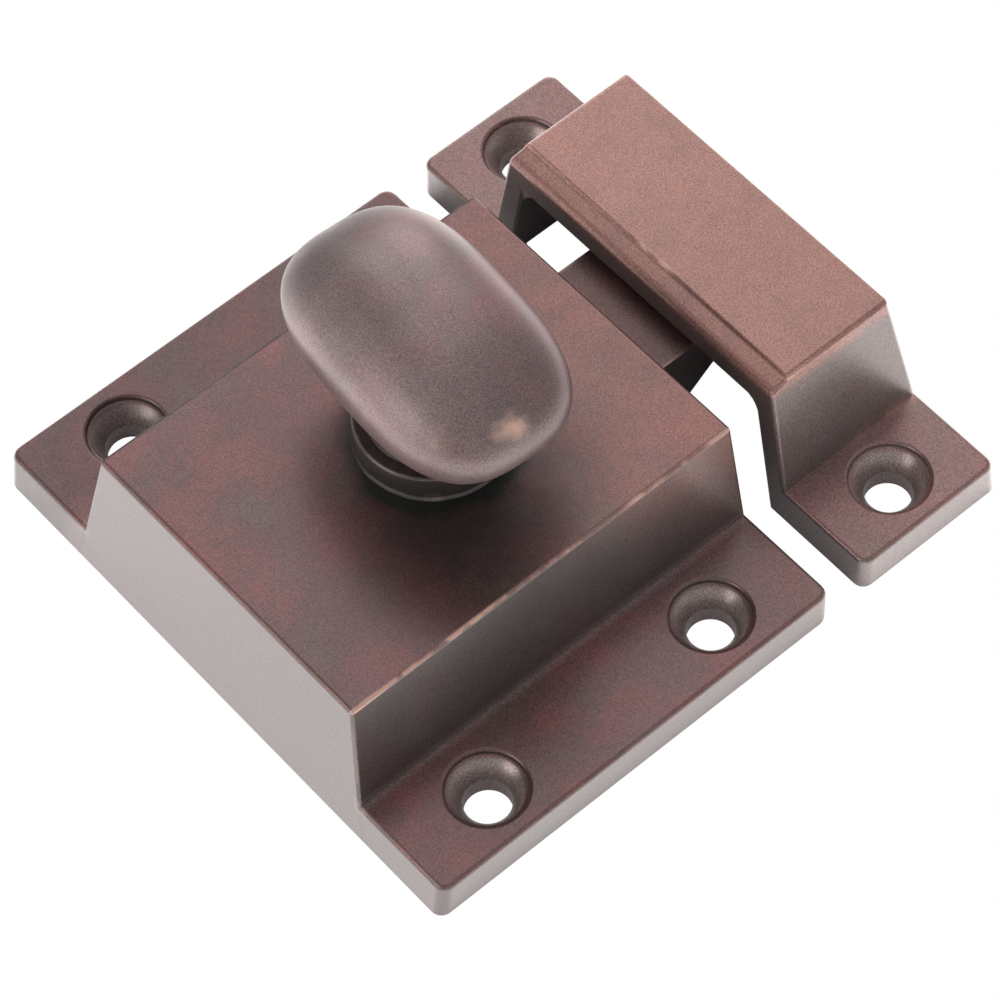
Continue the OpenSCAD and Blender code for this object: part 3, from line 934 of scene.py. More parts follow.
class Recipe:
    """A Geometry Nodes tree with named inputs, run once on a host mesh."""

    def __init__(self, name: str, inputs: dict[str, Any]) -> None:
        """Starts the tree.

        Args:
            name: The tree's name.
            inputs: Each input's name and value: a number, a whole number or a material.
        """
        self.group = bpy.data.node_groups.new(name, "GeometryNodeTree")
        self.tree = Tree(self.group)
        face = self.group.interface
        face.new_socket(name="Geometry", in_out="INPUT", socket_type="NodeSocketGeometry")
        face.new_socket(name="Geometry", in_out="OUTPUT", socket_type="NodeSocketGeometry")
        kinds = {int: "NodeSocketInt", float: "NodeSocketFloat", bpy.types.Material: "NodeSocketMaterial"}
        self.values: dict[str, Any] = {}
        for label, value in inputs.items():
            socket = face.new_socket(name=label, in_out="INPUT", socket_type=kinds[type(value)])
            self.values[socket.identifier] = value
        self.host = self.tree.node("NodeGroupInput", {}, {}, "Geometry")

    def input(self, label: str) -> Wire:
        """One of the tree's named inputs."""
        return self.tree.others(self.host, label)[0]

    def grid(self, across: str, along: str) -> tuple[Wire, Wire, Wire]:
        """A flat grid to be wrapped round an axis.

        Args:
            across: The input that says how many points go round.
            along: The input that says how many points go along.

        Returns:
            The grid, the angle round the axis in radians, and the way along from 0 to 1.
        """
        values = {"Size X": 1.0, "Size Y": 1.0, "Vertices X": self.input(across), "Vertices Y": self.input(along)}
        grid = self.tree.node("GeometryNodeMeshGrid", {}, values, "Mesh")
        place = self.tree.node("GeometryNodeInputPosition", {}, {})
        x, y, _ = self.tree.parts(place)
        return grid, (x + 0.5) * (2 * math.pi), y + 0.5

    def closed(self, grid: Wire, x: Any, y: Any, z: Any) -> Wire:
        """Puts the grid's points in their places and merges its seam and poles.

        Args:
            grid: The grid.
            x: The points' x, in millimetres.
            y: Their y.
            z: Their z.

        Returns:
            The closed form.
        """
        place = self.tree.vector(x * MM, y * MM, z * MM)
        moved = self.tree.node("GeometryNodeSetPosition", {}, {"Geometry": grid, "Position": place})
        return self.tree.node("GeometryNodeMergeByDistance", {}, {"Geometry": moved, "Distance": 40 * TINY})

    def finish(self, geometry: Wire) -> None:
        """Ends the tree in Realize Instances and Set Material.

        Args:
            geometry: What the tree has made.
        """
        real = self.tree.node("GeometryNodeRealizeInstances", {}, {"Geometry": geometry})
        values = {"Geometry": real, "Material": self.input("Finish")}
        dressed = self.tree.node("GeometryNodeSetMaterial", {}, values)
        self.tree.node("NodeGroupOutput", {}, {"Geometry": dressed})

    def mesh(self, points: Sequence[Point] = ((0, 0, 0),)) -> bpy.types.Mesh:
        """Runs the tree on a host of loose points.

        Args:
            points: The host's points, in millimetres.

        Returns:
            The result, as a plain mesh with the modifier gone.
        """
        base = raw_mesh("host", points)
        host = in_scene("host", base)
        modifier = host.modifiers.new("recipe", "NODES")
        modifier.node_group = self.group
        for identifier, value in self.values.items():
            modifier[identifier] = value
        made = bpy.data.meshes.new_from_object(host.evaluated_get(bpy.context.evaluated_depsgraph_get()))
        bpy.data.objects.remove(host)
        bpy.data.meshes.remove(base)
        return Bench.outward(made)


def place_piece(
    mesh: bpy.types.Mesh, name: str, body: Body, material: bpy.types.Material, nodes: Sequence[str]
) -> bpy.types.Object:
    """Puts a finished piece in the scene and ties it to the frame.

    Args:
        mesh: The piece's mesh, in its place.
        name: The piece's name.
        body: The body that it rides on.
        material: Its finish.
        nodes: The CAD nodes that it stands for.

    Returns:
        The piece.
    """
    mesh.name = name
    mesh.materials.clear()
    mesh.materials.append(material)
    piece = in_scene(name, mesh)
    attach(piece, body.value)
    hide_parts(*nodes)
    triangles = sum(len(p.vertices) - 2 for p in mesh.polygons)
    log.info("%s: %d triangles on %s, for %s", name, triangles, body.value, ", ".join(nodes))
    return piece


@dataclass
class ScrewHole:
    """A countersunk hole with a shallow ring round it, for a wood screw."""

    x: float
    y: float
    flange_h: float = 3.8
    radius: float = 1.95
    sink_r: float = 3.5
    ring_h: float = 0.45
    land_z: float = 1.7
    boss_wall: float = 1.5
    boss_top: float = 2.8
    ease: float = 0.35
    narrow: float = 0.2
    thin_z: float = 2.2
    thin_r: float = 3.45
    thin_core: float = 2.9

    def boss(self) -> bpy.types.Mesh:
        """The boss that is left standing round the hole, inside the flange."""
        return Bench.rod(self.radius + self.boss_wall, -2.0, self.boss_top, (self.x, self.y, 0), sides=56)

    def tool(self) -> bpy.types.Mesh:
        """The solid that cuts the hole.

        Returns:
            The solid: the straight part, the cone, a ring with a soft foot, and the ring's eased rim.
        """
        ring_z = self.flange_h - self.ring_h
        rim = self.flange_h
        wall = self.sink_r - self.narrow
        ease = self.ease
        profile = [
            (0.0, -1.0), (self.radius, -1.0), (self.radius, self.land_z - 0.1),
            (self.radius + 0.06, self.land_z + 0.06), (wall - 0.28, ring_z - 0.07), (wall - 0.13, ring_z),
            (wall - 0.04, ring_z + 0.03), (wall, ring_z + 0.12), (wall + 0.08 * ease, rim - 0.62 * ease),
            (wall + 0.3 * ease, rim - 0.3 * ease), (wall + 0.62 * ease, rim - 0.08 * ease),
            (wall + ease, rim + 0.01), (wall + ease, rim + 1.0), (0.0, rim + 1.0),
        ]
        return Bench.revolved(profile, (self.x, self.y, 0), sides=72)

    def thin_patina_and_sheen(self) -> WearAndShadingSpot:
        """Where the hole is painted pale grey: a thinner patina, with painted reflection against the shade in the hole.
        """
        return WearAndShadingSpot((self.x, self.y, self.thin_z), self.thin_r, 0.8, self.thin_core)


@dataclass
class Case:
    """The flanged casting that holds the mechanism: outside, hollow back, ribs, posts and spring seat."""

    front: float = 20.0
    rear: float = -20.0
    half_w: float = 27.0
    height: float = 14.0
    flange_h: float = 3.8
    top_half: float = 15.25
    foot_half: float = 17.1
    wall: float = 2.0
    front_inside: float = 17.4
    ceiling: float = 11.7
    rear_lean: float = math.tan(math.radians(8.5))
    roof_edge: float = 0.38
    far_roof_edge: float = 0.14
    slope_edge: float = 0.3
    back_edge: float = 0.2
    rim_edge: float = 0.4
    corner_r: float = 1.0
    hole_x: float = 11.6
    hole_y: float = 22.25
    knob_x: float = 2.5
    bushing_r: float = 4.5
    nose_half: float = 6.4
    bolt_low: float = 3.9
    bolt_axis: float = 7.8
    plate_top: float = 3.8
    rib_x: tuple[float, float] = (-10.0, 19.0)
    rib_y: tuple[float, float] = (10.0, 11.4)
    posts: tuple[tuple[float, float], ...] = ((14.5, 12.3), (14.5, -12.3), (-13.7, 12.0), (-13.7, -12.0))
    post_r: float = 2.3
    pilot_r: float = 1.25
    pilot_top: float = 9.4
    seat_x: float = -16.4
    seat_r: float = 3.3
    stub_x: float = -14.4
    stub_r: float = 1.4
    worn_z: float = 9.4

    def __post_init__(self) -> None:
        """Works out the lean of the sides, the planes that the edge wear and the painted shade lines follow, and the
        screw holes.
        """
        self.side_lean: float = (self.foot_half - self.top_half) / (self.height - self.flange_h)
        self.roof: Plane = Plane((0, 0, self.height), (0, 0, 1))
        self.side: Plane = Plane((0, self.foot_half, self.flange_h), (0, 1, self.side_lean))
        self.flange: Plane = Plane((0, 0, self.flange_h), (0, 0, 1))
        spots = [(sx * self.hole_x, sy * self.hole_y) for sx in (-1, 1) for sy in (-1, 1)]
        self.holes: list[ScrewHole] = [ScrewHole(*spot) for spot in spots]

    def wear_and_glints(self) -> list[Mark]:
        """The edges painted in copper: wear, made stronger along the roof's near edge as a painted highlight.

        Returns:
            Their marks.
        """
        front = Plane((self.front, 0, 0), (1, 0, 0))
        rear = Plane((self.rear, 0, self.flange_h), (-1, 0, self.rear_lean))
        rim = Plane((0, self.half_w, 0), (0, 1, 0))
        near = Plane((0, -self.foot_half, self.flange_h), (0, -1, self.side_lean))
        near_corner = (self.rear, -self.top_half, self.height)
        side_y = (self.foot_half + self.top_half) / 2
        # Copper edge wear; the strong line along the roof's near edge, brightest at its rear end, is also a painted
        # highlight.
        return [WearAndShadingLine(self.roof, near, 1.5, 0.36, one_side=True), WearAndShadingLine(self.roof, front, 0.2),
                WearAndShadingLine(self.roof, near, 1.2, 0.4, near_corner, 6.0, True), WearAndShadingLine(self.roof, rear, 0.12),
                WearAndShadingLine(self.side, front, 0.25, 0.3, (self.front, side_y, self.worn_z), 5.5),
                WearAndShadingLine(self.side, rear, 0.15, 0.3, (self._rear_at(self.worn_z), side_y, self.worn_z), 5.5),
                WearAndShadingLine(self.flange, rim, 0.1, 0.4)]

    def _edge_radius(self, a: Vector, b: Vector) -> float:
        """How round an outside edge is.

        Args:
            a: One end of the edge.
            b: The other end.

        Returns:
            The radius, or 0 on the corners that are round already and along the foot of the slopes.
        """
        level = self.flange_h + 0.5
        if min(a.z, b.z) > level:
            return self.far_roof_edge if min(a.y, b.y) > self.top_half - 0.1 else self.roof_edge
        if max(a.z, b.z) > level:
            return self.slope_edge
        at_corner = min(abs(a.y), abs(b.y)) > self.half_w - 1.1 * self.corner_r and abs(a.z - b.z) > 1
        at_foot = max(abs(a.y), abs(b.y)) < self.foot_half + 0.1 and min(a.z, b.z) > 1
        if at_corner or at_foot:
            return 0.0
        return self.back_edge if max(a.z, b.z) < 0.1 else self.rim_edge

    def _outside(self) -> bpy.types.Mesh:
        """The outside, as a solid.

        Returns:
            The solid, with eased edges.
        """
        half = [(self.half_w, 0), (self.half_w, self.flange_h), (self.foot_half, self.flange_h),
                (self.top_half, self.height)]
        section = half + [(-y, z) for y, z in reversed(half)]
        sharp = Bench.bridged([(self._rear_at(z), y, z) for y, z in section], [(self.front, y, z) for y, z in section])
        return Bench.eased(Bench.cornered(sharp, self.half_w, self.corner_r), self._edge_radius, self.rim_edge)

    def _rear_at(self, z: float, wall: float = 0.0) -> float:
        """Where the leaning rear end is at a height, plus a wall's thickness."""
        return self.rear + wall * math.hypot(1, self.rear_lean) - self.rear_lean * (self.flange_h - z)

    def _inside_at(self, z: float) -> float:
        """Half the hollow's width at a height."""
        return self.foot_half - self.wall * math.hypot(1, self.side_lean) + self.side_lean * (self.flange_h - z)

    def _hollow(self) -> bpy.types.Mesh:
        """The hollow under the roof, left full where the ribs, posts and spring seat stand.

        Returns:
            The solid to cut away.
        """
        levels = [(z, self._rear_at(z, self.wall), self.front_inside, self._inside_at(z)) for z in (-1.0, self.ceiling)]
        past = self.ceiling + 0.8
        (x0, x1), (y0, y1) = self.rib_x, self.rib_y
        kept = [Bench.extruded([(x0, side * y0), (x1, side * y0), (x1, side * y1), (x0, side * y1)],
                               self.plate_top, past, ALONG_Z) for side in (1, -1)]
        kept += [Bench.rod(self.post_r, self.plate_top, past, (x, y, 0), sides=40) for x, y in self.posts]
        seat = [(0, -19.0), (self.seat_r, -19.0), (self.seat_r, self.seat_x - 0.1), (self.seat_r - 0.1, self.seat_x),
                (self.stub_r, self.seat_x), (self.stub_r, self.stub_x - 0.1), (self.stub_r - 0.1, self.stub_x),
                (0, self.stub_x)]
        kept.append(Bench.revolved(seat, (0, 0, self.bolt_axis), ALONG_X, 40))
        return Bench.cut(Bench.block(levels), kept)

    def _flange_hollow(self) -> bpy.types.Mesh:
        """The shallow hollow inside the rim, under the flanges.

        Returns:
            The solid to cut away.
        """
        y = self.half_w - self.wall
        levels = [(z, self._rear_at(z, self.wall), self.front_inside, y) for z in (-1.0, self.flange_h - self.wall)]
        return Bench.cut(Bench.block(levels), [hole.boss() for hole in self.holes])

    def _openings(self) -> list[bpy.types.Mesh]:
        """What is cut through the walls.

        Returns:
            The solids for the bolt's nose, the collar, the wood screws and the back plate's screws.
        """
        nose = [(-self.nose_half, self.bolt_low), (self.nose_half, self.bolt_low), (self.nose_half, self.ceiling),
                (-self.nose_half, self.ceiling)]
        return [Bench.extruded(nose, self.front_inside - 1, self.front + 1, ALONG_X),
                Bench.rod(self.bushing_r, self.ceiling - 1, self.height + 1, (self.knob_x, 0, 0)),
                *(hole.tool() for hole in self.holes),
                *(Bench.rod(self.pilot_r, self.plate_top - 1, self.pilot_top, (x, y, 0), sides=32)
                  for x, y in self.posts)]

    def build(self) -> bpy.types.Object:
        """Makes the case.

        Returns:
            The piece.
        """
        tools = [self._hollow(), self._flange_hollow(), *self._openings()]
        mesh = Bench.shaded(Bench.cut(self._outside(), tools))
        # Painted sheen: the roof lighter and warmer toward its front right, where a light is reflected.
        painted_sheen = [Fade((0.55, -0.2, 1.0), 13.0, 23.0, 0.5)]
        # Pale grey: a thinner patina with painted reflection in the holes, and a painted highlight line where the
        # slopes meet the flanges.
        pale = [*(hole.thin_patina_and_sheen() for hole in self.holes), WearAndShadingLine(self.flange, self.side, 0.35, 0.9)]
        # Painted shade: the knob's shadow round the collar and in front of the knob, shade on the slopes, a dark line
        # over the reflection on the far roof edge, and a darker far flange.
        painted_shade = [WearAndShadingSpot((self.knob_x, 0.0, self.height), 8.6, 0.7, 6.2),
                 WearAndShadingSpot((self.knob_x - 2.0, -6.5, self.height), 15.0, 0.76, 3.0),
                 WearAndShadingLine(self.side, self.side, 0.12, 0.25), WearAndShadingLine(self.roof, self.side, 0.9, 0.3, one_side=True),
                 Fade((0.0, 1.0, 0.0), 17.0, 21.0, 0.24)]
        finish = BRONZE.material("case_bronze", self.wear_and_glints(), painted_sheen, painted_shade, pale)
        return place_piece(mesh, "case_casting", Body.FIXED, finish, ["case"])


@dataclass
class Strike:
    """The hooded casting on the door frame: flanges, hood with its lip, and the pocket that takes the bolt."""

    mouth: float = 23.65
    back: float = 38.05
    half_w: float = 27.0
    flange_h: float = 3.8
    height: float = 15.6
    top_half: float = 15.5
    foot_half: float = 17.7
    ceiling: float = 12.4
    wall: float = 2.0
    hood_wall: float = 2.2
    lip_w: float = 2.0
    lip_step: float = 0.3
    mouth_lean: float = math.tan(math.radians(1.3))
    back_lean: float = math.tan(math.radians(7.5))
    pocket_round: float = 2.0
    corner_r: float = 1.0
    hole_x: float = 30.85
    hole_y: float = 22.25
    lip_z: float = 15.0
    lip_round: float = 0.7
    step_edge: float = 0.12
    step_end: float = 0.1
    pocket_edge: float = 0.25
    pocket_foot: float = 0.15
    pocket_corner: float = 0.3
    back_edge: float = 0.2
    edge: float = 0.4

    def __post_init__(self) -> None:
        """Works out the lean of the hood's sides and the screw holes."""
        self.side_lean: float = (self.foot_half - self.top_half) / (self.height - self.flange_h)
        self.holes: list[ScrewHole] = [ScrewHole(self.hole_x, side * self.hole_y) for side in (-1, 1)]

    def _side_at(self, z: float) -> float:
        """Half the hood's width outside, at a height."""
        return self.foot_half - self.side_lean * (z - self.flange_h)

    def _inside_at(self, z: float) -> float:
        """Half the pocket's width at a height."""
        return self.foot_half - self.hood_wall * math.hypot(1, self.side_lean) - self.side_lean * (z - self.flange_h)

    def _mouth_at(self, z: float) -> float:
        """Where the mouth's face is at a height."""
        return self.mouth + self.mouth_lean * (z - self.flange_h)

    def _back_at(self, z: float, wall: float = 0.0) -> float:
        """Where the far end is at a height, less a wall's thickness."""
        return self.back - wall * math.hypot(1, self.back_lean) - self.back_lean * (z - self.flange_h)

    def wear_and_glints(self) -> list[Mark]:
        """The edges painted in copper: wear, with painted glints on the hood's step and a painted glow along the crease
        at the hood's back end.

        Returns:
            Their marks.
        """
        top = Plane((0, 0, self.height), (0, 0, 1))
        side = Plane((0, self.foot_half, self.flange_h), (0, 1, self.side_lean))
        step = Plane((self.mouth + self.lip_w + self.lip_step / 4, 0, 0), (1, 0, 0))
        face = Plane((self.mouth, 0, self.flange_h), (-1, 0, self.mouth_lean))
        lip = Plane((self._mouth_at(self.lip_z), 0, self.lip_z), (-0.17, 0, 1))
        back = Plane((self.back, 0, self.flange_h), (1, 0, self.back_lean))
        flange = Plane((0, 0, self.flange_h), (0, 0, 1))
        rim = Plane((0, self.half_w, 0), (0, 1, 0))
        middle = (self.mouth + self.lip_w, 0.0, self.height)
        near_end = (self.mouth + 1.0, self.top_half, self.height)
        # Copper edge wear, with painted glints on the hood's step and a painted glow along the crease at the hood's
        # back end.
        return [WearAndShadingLine(top, step, 1.0, 0.35, middle, 2.6), WearAndShadingLine(top, step, 0.9, 0.4, near_end, 1.6),
                WearAndShadingLine(top, side, 0.3), WearAndShadingLine(top, back, 0.2),
                WearAndShadingLine(flange, side, 0.35, 1.1, (self.back, self.foot_half, self.flange_h), 9.0),
                WearAndShadingLine(flange, rim, 0.2, 0.35), WearAndShadingLine(lip, side, 0.4)]

    def _edge_radius(self, a: Vector, b: Vector) -> float:
        """How round an edge is.

        Args:
            a: One end of the edge.
            b: The other end.

        Returns:
            The radius, or 0 on the corners that are round already and along the hood's foot.
        """
        inside = all(abs(p.y) < self._inside_at(p.z) + NEAR for p in (a, b))
        if inside and abs(a.z - self.ceiling) + abs(b.z - self.ceiling) < 0.01:
            return self.pocket_round if abs(a.y - b.y) < 0.1 else self.pocket_corner
        if inside:
            return self.pocket_edge if max(a.z, b.z) > 0.1 else self.pocket_foot
        low, high = min(a.z, b.z), max(a.z, b.z)
        past_lip = self.lip_z + 0.1
        if high - low < 0.01 and a.z > past_lip and abs(a.x - b.x) < 0.01 and a.x < self.mouth + self.lip_w + 0.3:
            return self.step_edge
        if low > past_lip and abs(a.x - b.x) < 0.2:
            return self.step_end
        if low > self.lip_z - 0.1 and high < past_lip:
            return self.lip_round
        if high < 0.1:
            return self.back_edge
        at_corner = min(abs(a.y), abs(b.y)) > self.half_w - 1.1 * self.corner_r and high - low > 1
        at_foot = abs(abs(a.y) - self.foot_half) + abs(abs(b.y) - self.foot_half) < 0.1 and high < self.flange_h + 0.2
        return 0.0 if at_corner or at_foot else self.edge

    def _body(self) -> bpy.types.Mesh:
        """The casting with its pocket.

        Returns:
            The solid, with eased edges.
        """
        half = [(self.half_w, 0.0), (self.half_w, self.flange_h), (self.foot_half, self.flange_h)]
        points: list[Point] = []

        def both(x: float, y: float, z: float) -> tuple[int, int]:
            """Adds a corner on each side, and returns their numbers."""
            points.extend([(x, y, z), (x, -y, z)])
            return len(points) - 2, len(points) - 1

        front = [both(self._mouth_at(z), y, z) for y, z in half]
        front.append(both(self._mouth_at(self.lip_z), self._side_at(self.lip_z), self.lip_z))
        step_z = self.height - self.lip_step
        step_low = both(self.mouth + self.lip_w, self._side_at(step_z), step_z)
        step_high = both(self.mouth + self.lip_w + self.lip_step / 2, self.top_half, self.height)
        rear = [both(self._back_at(z), y, z) for y, z in half]
        rear.append(both(self._back_at(self.height), self.top_half, self.height))
        arch = [both(self._mouth_at(z), self._inside_at(z), z) for z in (0.0, self.ceiling)]
        end = [both(self._back_at(z, self.wall), self._inside_at(z), z) for z in (0.0, self.ceiling)]
        faces: list[list[int]] = []
        for s in (0, 1):
            faces += [
                [front[0][s], front[1][s], rear[1][s], rear[0][s]],
                [front[1][s], front[2][s], rear[2][s], rear[1][s]],
                [front[2][s], front[3][s], step_low[s], step_high[s], rear[3][s], rear[2][s]],
                [arch[0][s], arch[1][s], end[1][s], end[0][s]],
            ]
        faces += [
            [front[3][0], front[3][1], step_low[1], step_low[0]],
            [step_low[0], step_low[1], step_high[1], step_high[0]],
            [step_high[0], step_high[1], rear[3][1], rear[3][0]],
            [*(p[0] for p in rear), *(p[1] for p in reversed(rear))],
            [*(p[0] for p in front), *(p[1] for p in reversed(front)), arch[0][1], arch[1][1], arch[1][0], arch[0][0]],
            [front[0][0], arch[0][0], end[0][0], end[0][1], arch[0][1], front[0][1], rear[0][1], rear[0][0]],
            [arch[1][0], arch[1][1], end[1][1], end[1][0]],
            [end[0][0], end[1][0], end[1][1], end[0][1]],
        ]
        solid = Bench.outward(raw_mesh("strike", points, faces))
        sharp = Bench.cornered(solid, self.half_w, self.corner_r)
        return Bench.eased(sharp, self._edge_radius, self.pocket_round)

    def _flange_hollow(self) -> bpy.types.Mesh:
        """The shallow hollow inside the rim, under the flanges.

        Returns:
            The solid to cut away.
        """
        x, y = self.mouth + self.wall, self.half_w - self.wall
        levels = [(z, x, self._back_at(z, self.wall), y) for z in (-1.0, self.flange_h - self.wall)]
        return Bench.cut(Bench.block(levels), [hole.boss() for hole in self.holes])

    def build(self) -> bpy.types.Object:
        """Makes the strike.

        Returns:
            The piece.
        """
        mesh = Bench.cut(self._body(), [self._flange_hollow(), *(hole.tool() for hole in self.holes)])
        # Painted highlight: the hood's top is lighter and warmer.
        painted_sheen = [Fade((0.0, 0.0, 1.0), 13.8, 15.0, 0.9)]
        # Pale grey in the holes: a thinner patina with painted reflection.
        pale = [hole.thin_patina_and_sheen() for hole in self.holes]
        finish = LIT_STRIKE_BRONZE.material("strike_bronze", self.wear_and_glints(), painted_sheen, (), pale)
        return place_piece(Bench.shaded(mesh), "strike_casting", Body.FIXED, finish, ["strike"])


@dataclass
class OvalKnob:
    """The oval knob: a superellipse dome and underside that flow into a round waisted neck."""

    centre_x: float = 2.5
    short: float = 16.0
    long: float = 25.5
    mid_z: float = 26.1
    dome_h: float = 5.5
    under_h: float = 5.6
    squareness: float = 2.9
    foot_z: float = 16.8
    foot_r: float = 5.2
    waist_z: float = 18.2
    neck_r: float = 4.3
    flare: float = 0.3
    blend: float = 2.0
    dome_power: float = 2.1
    under_power: float = 2.2
    set_angle: float = -4.0
    around: int = 161
    along: int = 129

    def _recipe(self, finish: bpy.types.Material) -> Recipe:
        """The knob's rule, as a Geometry Nodes tree.

        Args:
            finish: The knob's material.

        Returns:
            The tree. Its way along has four equal bands: the foot's cap, the neck, the underside and the dome.
        """
        inputs = {"Around": self.around, "Along": self.along, "Short axis": self.short, "Long axis": self.long,
                  "Middle height": self.mid_z, "Dome height": self.dome_h, "Underside depth": self.under_h,
                  "Squareness": self.squareness, "Foot height": self.foot_z, "Foot radius": self.foot_r,
                  "Waist height": self.waist_z, "Neck radius": self.neck_r, "Neck flare": self.flare,
                  "Blend": self.blend, "Finish": finish}
        recipe = Recipe("oval_knob", inputs)
        grid, angle, way = recipe.grid("Around", "Along")
        get = recipe.input
        cap, neck, under, dome = [(way * 4.0 - k).share() for k in range(4)]
        low_z = get("Middle height") - get("Underside depth")
        quarter = math.pi / 2
        sweep = (1 - under) * quarter
        sink = sweep.sine().at_least(0.0) ** (2 / self.under_power)
        rise = (dome * quarter).sine().at_least(0.0) ** (2 / self.dome_power)
        z = (get("Foot height") + (low_z - get("Foot height")) * neck + get("Underside depth") * (1 - sink)
             + get("Dome height") * rise)
        fullness = (sweep.cosine().at_least(0.0) ** (2 / self.under_power)
                    * (dome * quarter).cosine().at_least(0.0) ** (2 / self.dome_power))
        below_middle = dome.below(1e-5)
        radius = self._neck(recipe, z, low_z) * below_middle
        a = self._soft_max(fullness * get("Short axis") / 2, radius, get("Blend"), below_middle)
        b = self._soft_max(fullness * get("Long axis") / 2, radius, get("Blend"), below_middle)
        growing = (b - a) * 2 / (get("Long axis") - get("Short axis"))
        power = 2 + (get("Squareness") - 2) * (growing * below_middle + 1 - below_middle)
        reach = ((abs(angle.cosine()) / a.at_least(1e-3)) ** power
                 + (abs(angle.sine()) / b.at_least(1e-3)) ** power) ** (-1 / power)
        reach = reach * cap
        turned = angle + math.radians(self.set_angle)
        knob = recipe.closed(grid, self.centre_x + reach * turned.cosine(), reach * turned.sine(), z)
        recipe.finish(knob)
        return recipe

    @staticmethod
    def _neck(recipe: Recipe, z: Wire, low_z: Wire) -> Wire:
        """Radius of the neck at a height, as the part's source gives it.

        Args:
            recipe: The knob's tree.
            z: The height.
            low_z: The height at which the underside starts.

        Returns:
            The radius.
        """
        get = recipe.input
        run = (z - get("Waist height")) / (low_z - get("Waist height"))
        down = ((get("Waist height") - z) / (get("Waist height") - get("Foot height"))).at_least(0.0)
        spread = (get("Foot radius") - get("Neck radius")) * down * down
        inner = run.share()
        return get("Neck radius") + spread + get("Neck flare") * (inner * inner + (run - 1).at_least(0.0) * 2)

    @staticmethod
    def _soft_max(first: Wire, second: Wire, blend: Wire, where: Wire) -> Wire:
        """The larger of two radii, rounded over where they come close."""
        near = (blend - abs(first - second)).at_least(0.0) * where
        return first.at_least(second) + near * near / (blend * 4)

    def build(self) -> bpy.types.Object:
        """Makes the knob.

        Returns:
            The piece.
        """
        # Copper wear with painted glints: light copper spots on the dome's near shoulder stand in for highlights.
        spots = [WearAndShadingSpot((1.6, -11.7, 28.6), 1.6, 0.75), WearAndShadingSpot((0.3, -11.3, 28.7), 1.2, 0.45),
                 WearAndShadingSpot((-3.3, -8.9, 28.6), 1.5, 0.3)]
        # Painted light: the knob is lighter toward its left side.
        painted_sheen = [Fade((-1.0, -0.2, 0.0), -7.0, 4.0, 0.6)]
        # Painted shade: under the dome and round the neck, toward the near side, and over the reflection at the far
        # end.
        painted_shade = [Fade((0.0, 0.0, -1.0), -23.5, -20.5, 0.9), Fade((0.0, -1.0, 0.0), 4.0, 11.0, 0.22),
                 Fade((0.0, 1.0, 0.0), 5.5, 12.0, 0.6)]
        finish = KNOB_BRONZE.material("knob_bronze", spots, painted_sheen, painted_shade)
        mesh = Bench.shaded(self._recipe(finish).mesh(), 60.0)
        return place_piece(mesh, "knob_casting", Body.TURNING, finish, ["knob"])


@dataclass
class Collar:
    """The bushing pressed into the roof, with a lightly turned rim and the rough bead that seals its foot."""

    centre_x: float = 2.5
    bore_r: float = 3.05
    shank_r: float = 4.5
    rim_r: float = 6.35
    low_z: float = 11.7
    roof_z: float = 14.0
    top_z: float = 16.7
    bead: float = 0.2

    @staticmethod
    def _swell(a: float) -> float:
        """How full the uneven bead is at an angle, from 0.1 to 1."""
        return max(0.1, 0.45 + 0.3 * math.sin(3 * a + 0.6) + 0.16 * math.sin(8 * a + 2.1) + 0.08 * math.sin(19 * a))

    def build(self) -> bpy.types.Object:
        """Makes the collar.

        Returns:
            The piece.
        """
        outer = self.rim_r + self.bead
        low = self.roof_z - 0.2
        corners = [(self.bore_r, self.low_z, 0), (self.shank_r, self.low_z, 0), (self.shank_r, low, 0),
                   (outer, low, 0), (outer, self.roof_z + 0.05, 0.04),
                   (self.rim_r + 0.03, self.roof_z + 0.3, 0.12), (self.rim_r - 0.05, self.roof_z + 1.2, 0),
                   (self.rim_r - 0.1, self.top_z, 0.3), (self.bore_r, self.top_z, 0.15)]
        mesh = Bench.revolved(rounded(corners, 5), (self.centre_x, 0, 0), sides=128)
        for vertex in mesh.vertices:
            x, y, z = vertex.co.x / MM - self.centre_x, vertex.co.y / MM, vertex.co.z / MM
            if math.hypot(x, y) > self.rim_r + 0.01 and self.roof_z < z < self.roof_z + 0.5:
                grow = (self.rim_r + self.bead * self._swell(math.atan2(y, x))) / outer
                vertex.co.x = (self.centre_x + x * grow) * MM
                vertex.co.y = y * grow * MM
        rim = Plane((0, 0, self.top_z), (0, 0, 1))
        # Painted highlights in copper: a faint line on the rim's top and a small spot on the bead.
        wear_and_glints = [WearAndShadingLine(rim, rim, 0.1, 0.15), WearAndShadingSpot((-1.6, -4.9, self.roof_z + 0.2), 1.0, 0.3)]
        # Painted shade: the collar is given the near-black copy of the bronze, as it lies under the knob.
        finish = SHADOWED_BRONZE.material("collar_bronze", wear_and_glints)
        return place_piece(Bench.shaded(mesh, 50.0), "roof_collar", Body.FIXED, finish, ["collar"])


